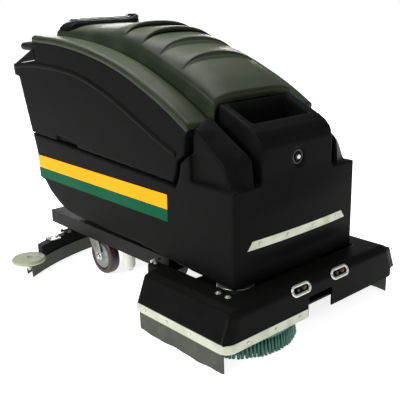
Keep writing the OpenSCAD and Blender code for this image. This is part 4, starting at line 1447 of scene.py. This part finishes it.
    def brush(self, name: str, centre: Flat, seed: int) -> None:
        """Makes one brush: a drilled block set with rings of tufts.

        Args:
            name: the CAD node and body that it stands for.
            centre: its centre in plan.
            seed: seed of the tufts' small leans.
        """
        x, y = centre
        block = Shape()
        block.lathe([(0, 58), (204, 58), (206, 61), (206, 74), (203, 78), (62, 79), (60, 82),
                     (60, 98), (30, 98), (28, 96), (9.9, 96), (9.9, 148), (0, 148)],
                    (x, y, 0), (0, 0, 1), 72)
        made = block.thing(name + "_block")
        soften(made, 1.0)
        dress(made, TEAL_BRISTLE, name, [name])
        draw = random.Random(seed)
        tufts = Shape()
        for ring, r in enumerate((82, 98, 114, 130, 146, 162, 178, 192, 200)):
            count = int(2 * math.pi * r / 13.5)
            for k in range(count):
                a = 2 * math.pi * (k + 0.5 * (ring % 2)) / count + draw.uniform(-0.006, 0.006)
                splay = 1.0 + 0.03 * (r / 200) ** 2 + draw.uniform(-0.006, 0.006)
                c, s = math.cos(a), math.sin(a)
                top = (x + r * c, y + r * s, 60)
                foot = (x + r * splay * c + draw.uniform(-1.5, 1.5),
                        y + r * splay * s + draw.uniform(-1.5, 1.5), 1.5 + draw.uniform(0, 2))
                middle = tuple((p * 0.55 + q * 0.45) for p, q in zip(top, foot))
                rings = []
                for place, wide in ((top, 3.4), (middle, 4.6), (foot, 6.2)):
                    rings.append([(place[0] + wide * math.cos(t), place[1] + wide * math.sin(t),
                                   place[2]) for t in (math.pi * j / 3 for j in range(6))])
                tufts.loft(rings)
        dress(tufts.thing(name + "_tufts"), TEAL_BRISTLE, name)

    def build(self) -> None:
        """Makes every piece of the deck."""
        self.cover()
        self.rings()
        self.skirts()
        self.fasteners()
        self.brush("brush_right", (-104, -203), 3)
        self.brush("brush_left", (-274, 203), 4)


# ---------- wheels and squeegee ----------

@dataclass
class Wheels:
    """The drive wheels, and the casters with their forks."""

    drive: Flat = (-610.0, 110.0)
    caster: Flat = (-912.0, 235.0)
    trail: float = 42.0

    def drive_wheel(self, side: int, name: str) -> None:
        """Makes one drive wheel: a grooved tyre on a bolted hub."""
        x, z = self.drive
        at = (x, side * 104, z)
        tyre = Shape()
        profile = [(66, -30), (104, -30), (108, -27), (110, -23)]
        for groove in (-12, 0, 12):
            profile += [(110, groove - 2.5), (106, groove - 1.8), (106, groove + 1.8),
                        (110, groove + 2.5)]
        profile += [(110, 23), (108, 27), (104, 30), (66, 30)]
        tyre.ring(profile, at, (0, 1, 0), 96)
        dress(tyre.thing(name + "_tyre"), DRIVE_TYRE, name, [name])
        hub = Shape()
        hub.ring([(12.05, -33), (33, -33), (35, -31), (36, -24), (58, -22), (66, -28), (66.5, -28),
                  (66.5, 28), (58, 22), (36, 24), (35, 31), (33, 33), (12.05, 33)],
                 at, (0, 1, 0), 64)
        for k in range(5):
            a = 2 * math.pi * k / 5
            for face in (-1, 1):
                hub.bolt((x + 47 * math.cos(a), side * 104 + face * 22.5, z + 47 * math.sin(a)),
                         (0, face, 0), 12, 5)
        dress(hub.thing(name + "_hub"), CAST_HOUSING, name)

    def caster_wheel(self, side: int, name: str) -> None:
        """Makes one caster wheel: a maroon tread on a grey hub."""
        x, y = self.caster
        at = (x + self.trail, side * y, 80)
        tyre = Shape()
        tyre.ring([(50, -20), (70, -22.5), (76, -20), (79, -15), (80, -8), (80, 8), (79, 15),
                   (76, 20), (70, 22.5), (50, 20)], at, (0, 1, 0), 96)
        dress(tyre.thing(name + "_tread"), MAROON_TYRE, name, [name])
        hub = Shape()
        hub.ring([(8.05, -25), (20, -25), (21, -23), (22, -17), (44, -15), (48, -20), (52, -20.5),
                  (52, 20.5), (48, 20), (44, 15), (22, 17), (21, 23), (20, 25), (8.05, 25)],
                 at, (0, 1, 0), 72)
        for k in range(6):
            a = math.pi * k / 3
            for face in (-1, 1):
                spoke = [(at[0] + r * math.cos(a), at[1] + face * 15.5, at[2] + r * math.sin(a))
                         for r in (22, 33, 46)]
                hub.tube(spoke, 3, 2.4, 10, up=(0, 1, 0))
        dress(hub.thing(name + "_hub"), HUB_NYLON, name)

    def fork(self, side: int, name: str) -> None:
        """Makes one pressed fork with its ball race and axle nuts."""
        x, y = self.caster
        shape = Shape()
        leg = [(-33, 166), (28, 166), (34, 150)]
        leg += [(self.trail + a, 80 + b) for a, b in bar_arc((0, 0), 17, 20, -160, 10)]
        leg += [(-12, 110), (-33, 150)]
        for face in (-1, 1):
            a, b = sorted((face * 26, face * 31))
            shape.prism([(x + px, pz) for px, pz in leg], side * y + a, side * y + b)
        shape.plate([(x - 33, side * y - 31), (x + 28, side * y - 31), (x + 28, side * y + 31),
                     (x - 33, side * y + 31)], 163, 166.5)
        made = shape.thing(name + "_legs")
        soften(made, 1.6, 3)
        dress(made, ZINC_STEEL, name, [name])
        race = Shape()
        race.lathe([(0, 164), (36, 164), (37, 165.5), (36, 167), (30, 168.5), (30, 170.4),
                    (7.9, 170.5), (7.9, 214), (0, 214)], (x, side * y, 0), (0, 0, 1), 56)
        race.lathe([(0, -34), (7.9, -34), (7.9, 34), (0, 34)], (x + self.trail, side * y, 80),
                   (0, 1, 0), 28)
        for face in (-1, 1):
            race.bolt((x + self.trail, side * y + face * 31, 80), (0, face, 0), 19, 8)
        dress(race.thing(name + "_race"), ZINC_STEEL, name)

    def build(self) -> None:
        """Makes all four wheels and both forks."""
        for side, hand in ((1, "left"), (-1, "right")):
            self.drive_wheel(side, "drive_wheel_" + hand)
            self.caster_wheel(side, "caster_wheel_" + hand)
            self.fork(side, "caster_fork_" + hand)


@dataclass
class Squeegee:
    """The squeegee's bumper wheels, brackets and wing knobs."""

    middle_x: float = -200.0
    radius: float = 1000.0
    tip: float = 495.0

    def on_curve(self, y: float, radius: float) -> float:
        """How far forward the squeegee's curve lies at a distance from the middle."""
        return self.middle_x - math.sqrt(radius ** 2 - y ** 2)

    def bumper(self, side: int, name: str, body: str) -> None:
        """Makes one bumper wheel."""
        x = self.on_curve(self.tip, self.radius)
        shape = Shape()
        shape.ring([(8.05, 0), (24, 0), (27, 2), (57, 2), (66, 4), (70, 8), (71, 12), (70.4, 17),
                    (66, 21), (58, 22.5), (30, 21), (24, 22.5), (20, 24), (8.05, 24)],
                   (x, side * self.tip, 64), (0, 0, 1), 96)
        dress(shape.thing(name + "_disc"), BUMPER_PLASTIC, body, [name])

    def hardware(self) -> None:
        """Adds the pins' nuts, the foot cones, the brackets and the wing knobs."""
        steel, pale, knobs = Shape(), Shape(), Shape()
        for side in (-1, 1):
            x, y = self.on_curve(self.tip, self.radius), side * self.tip
            steel.bolt((x, y, 88.5), (0, 0, 1), 13, 6)
            pale.lathe([(0, 26), (5, 27), (9, 36), (15, 47), (15, 49.8), (0, 49.8)], (x, y, 0),
                       (0, 0, 1), 32)
            for reach in (177, 330):
                px, py = self.on_curve(reach, self.radius), side * reach
                steel.box((px - 24, py - 26, 108.2), (px + 24, py + 26, 112))
                steel.box((px - 24, py - 26, 88), (px - 20.5, py + 26, 112))
                for s in (-1, 1):
                    steel.bolt((px, py + s * 17, 112), (0, 0, 1), 11, 5)
            px, py = self.on_curve(250, self.radius), side * 250
            knobs.lathe([(0, 108), (9, 108), (9, 116), (6, 118), (6, 126), (0, 126)], (px, py, 0),
                        (0, 0, 1), 28)
            knobs.loft([[(px - 3, py + s, 117), (px + 3, py + s, 117), (px + 2, py + s, h),
                         (px - 2, py + s, h)] for s, h in ((-26, 128), (-18, 132), (-6, 124),
                                                           (6, 124), (18, 132), (26, 128))])
        made = steel.thing("squeegee_brackets")
        soften(made, 0.8)
        dress(made, ZINC_STEEL, "squeegee")
        dress(pale.thing("squeegee_foot_cones"), FILTER_PLASTIC, "squeegee")
        wings = knobs.thing("squeegee_wing_knobs")
        soften(wings, 1.0)
        dress(wings, CONTROL_PLASTIC, "squeegee")

    def build(self) -> None:
        """Makes the pieces of the squeegee."""
        self.bumper(1, "bumper_wheel_left", "bumper_left")
        self.bumper(-1, "bumper_wheel_right", "bumper_right")
        self.hardware()


# ---------- inside ----------

@dataclass
class Inside:
    """Detail of the parts that show when the tank is tilted or the lid is open."""

    length: float = 290.0
    width: float = 178.0
    top: float = 536.0

    def battery_details(self) -> None:
        """Adds vent caps and ribs to each battery."""
        caps, ribs = Shape(), Shape()
        for i in (0, 1):
            for j in (-1, 0, 1):
                x0 = -992 + i * (self.length + 4)
                y0 = (j - 0.5) * (self.width + 5) + 2
                for k in range(3):
                    caps.lathe([(0, 0), (12, 0), (12, 6), (10, 8), (0, 8)],
                               (x0 + 95 + 50 * k, y0 + 45, self.top), (0, 0, 1), 24)
                for k in range(9):
                    x = x0 + 25 + 30 * k
                    ribs.box((x - 2, y0 - 0.4, 300), (x + 2, y0 + 1, self.top - 20))
                    ribs.box((x - 2, y0 + self.width - 1, 300),
                             (x + 2, y0 + self.width + 0.4, self.top - 20))
        dress(caps.thing("battery_vent_caps"), YELLOW_ABS, "chassis")
        dress(ribs.thing("battery_ribs"), BATTERY_CASE, "chassis")

    def motor_bands(self) -> None:
        """Adds cooling slots and bands to the motors."""
        for name, body, at in (("brush_motor_right", "deck", (-104, -203, 120)),
                               ("brush_motor_left", "deck", (-274, 203, 120)),
                               ("vacuum_motor", "tank", (-1090, -150, 592))):
            shape = Shape()
            radius = 65 if body == "deck" else 72
            height = 70 if body == "deck" else 90
            for z in (8, height - 10):
                shape.ring([(radius, -3), (radius + 1.6, -2.4), (radius + 1.6, 2.4), (radius, 3)],
                           (at[0], at[1], at[2] + z), (0, 0, 1), 64)
            for k in range(18):
                a = 2 * math.pi * k / 18
                x, y = at[0] + radius * math.cos(a), at[1] + radius * math.sin(a)
                shape.tube([(x, y, at[2] + 18), (x, y, at[2] + height - 20)], 2.2, 1.6, 8,
                           up=(1, 0, 0))
            dress(shape.thing(name + "_bands"), ZINC_STEEL, body)

    def build(self) -> None:
        """Makes the details inside the machine."""
        self.battery_details()
        self.motor_bands()


# Width in millimetres of the rounded edges of the CAD parts that stay as they are.
EDGE_WIDTHS = {"chassis_frame": 3.0, "batteries": 4.0, "motor_controller": 3.0, "transaxle": 4.0,
               "squeegee_body": 2.5, "squeegee_arm": 2.0, "console_cheeks": 2.5,
               "guard_strip": 0.8, "orange_stripe": 0.3, "green_stripe": 0.3}


def dress_frame() -> None:
    """Gives every CAD part that still shows rounded edges and its real material."""
    for name, node in sorted(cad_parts.items()):
        if node.hide_render:
            continue
        soften(node, EDGE_WIDTHS.get(name, 0.8))
        for place in node.material_slots:
            slot = place.material.name.split(".")[0]
            place.material = BY_SLOT[slot].material()
        log.info("%s stays, %d faces", name, len(node.data.polygons))


def main() -> None:
    """Builds the machine in order, from the studio to the CAD parts that stay."""
    logging.basicConfig(level=logging.INFO, format="%(name)s: %(message)s")
    for group in (Studio(), SolutionTank(), RecoveryTank(), Lid(), Dome(), Console(), Handle(),
                  Deck(), Wheels(), Squeegee(), Inside()):
        log.info("building %s", type(group).__name__)
        group.build()
    dress_frame()


if __name__ == "__main__":
    main()
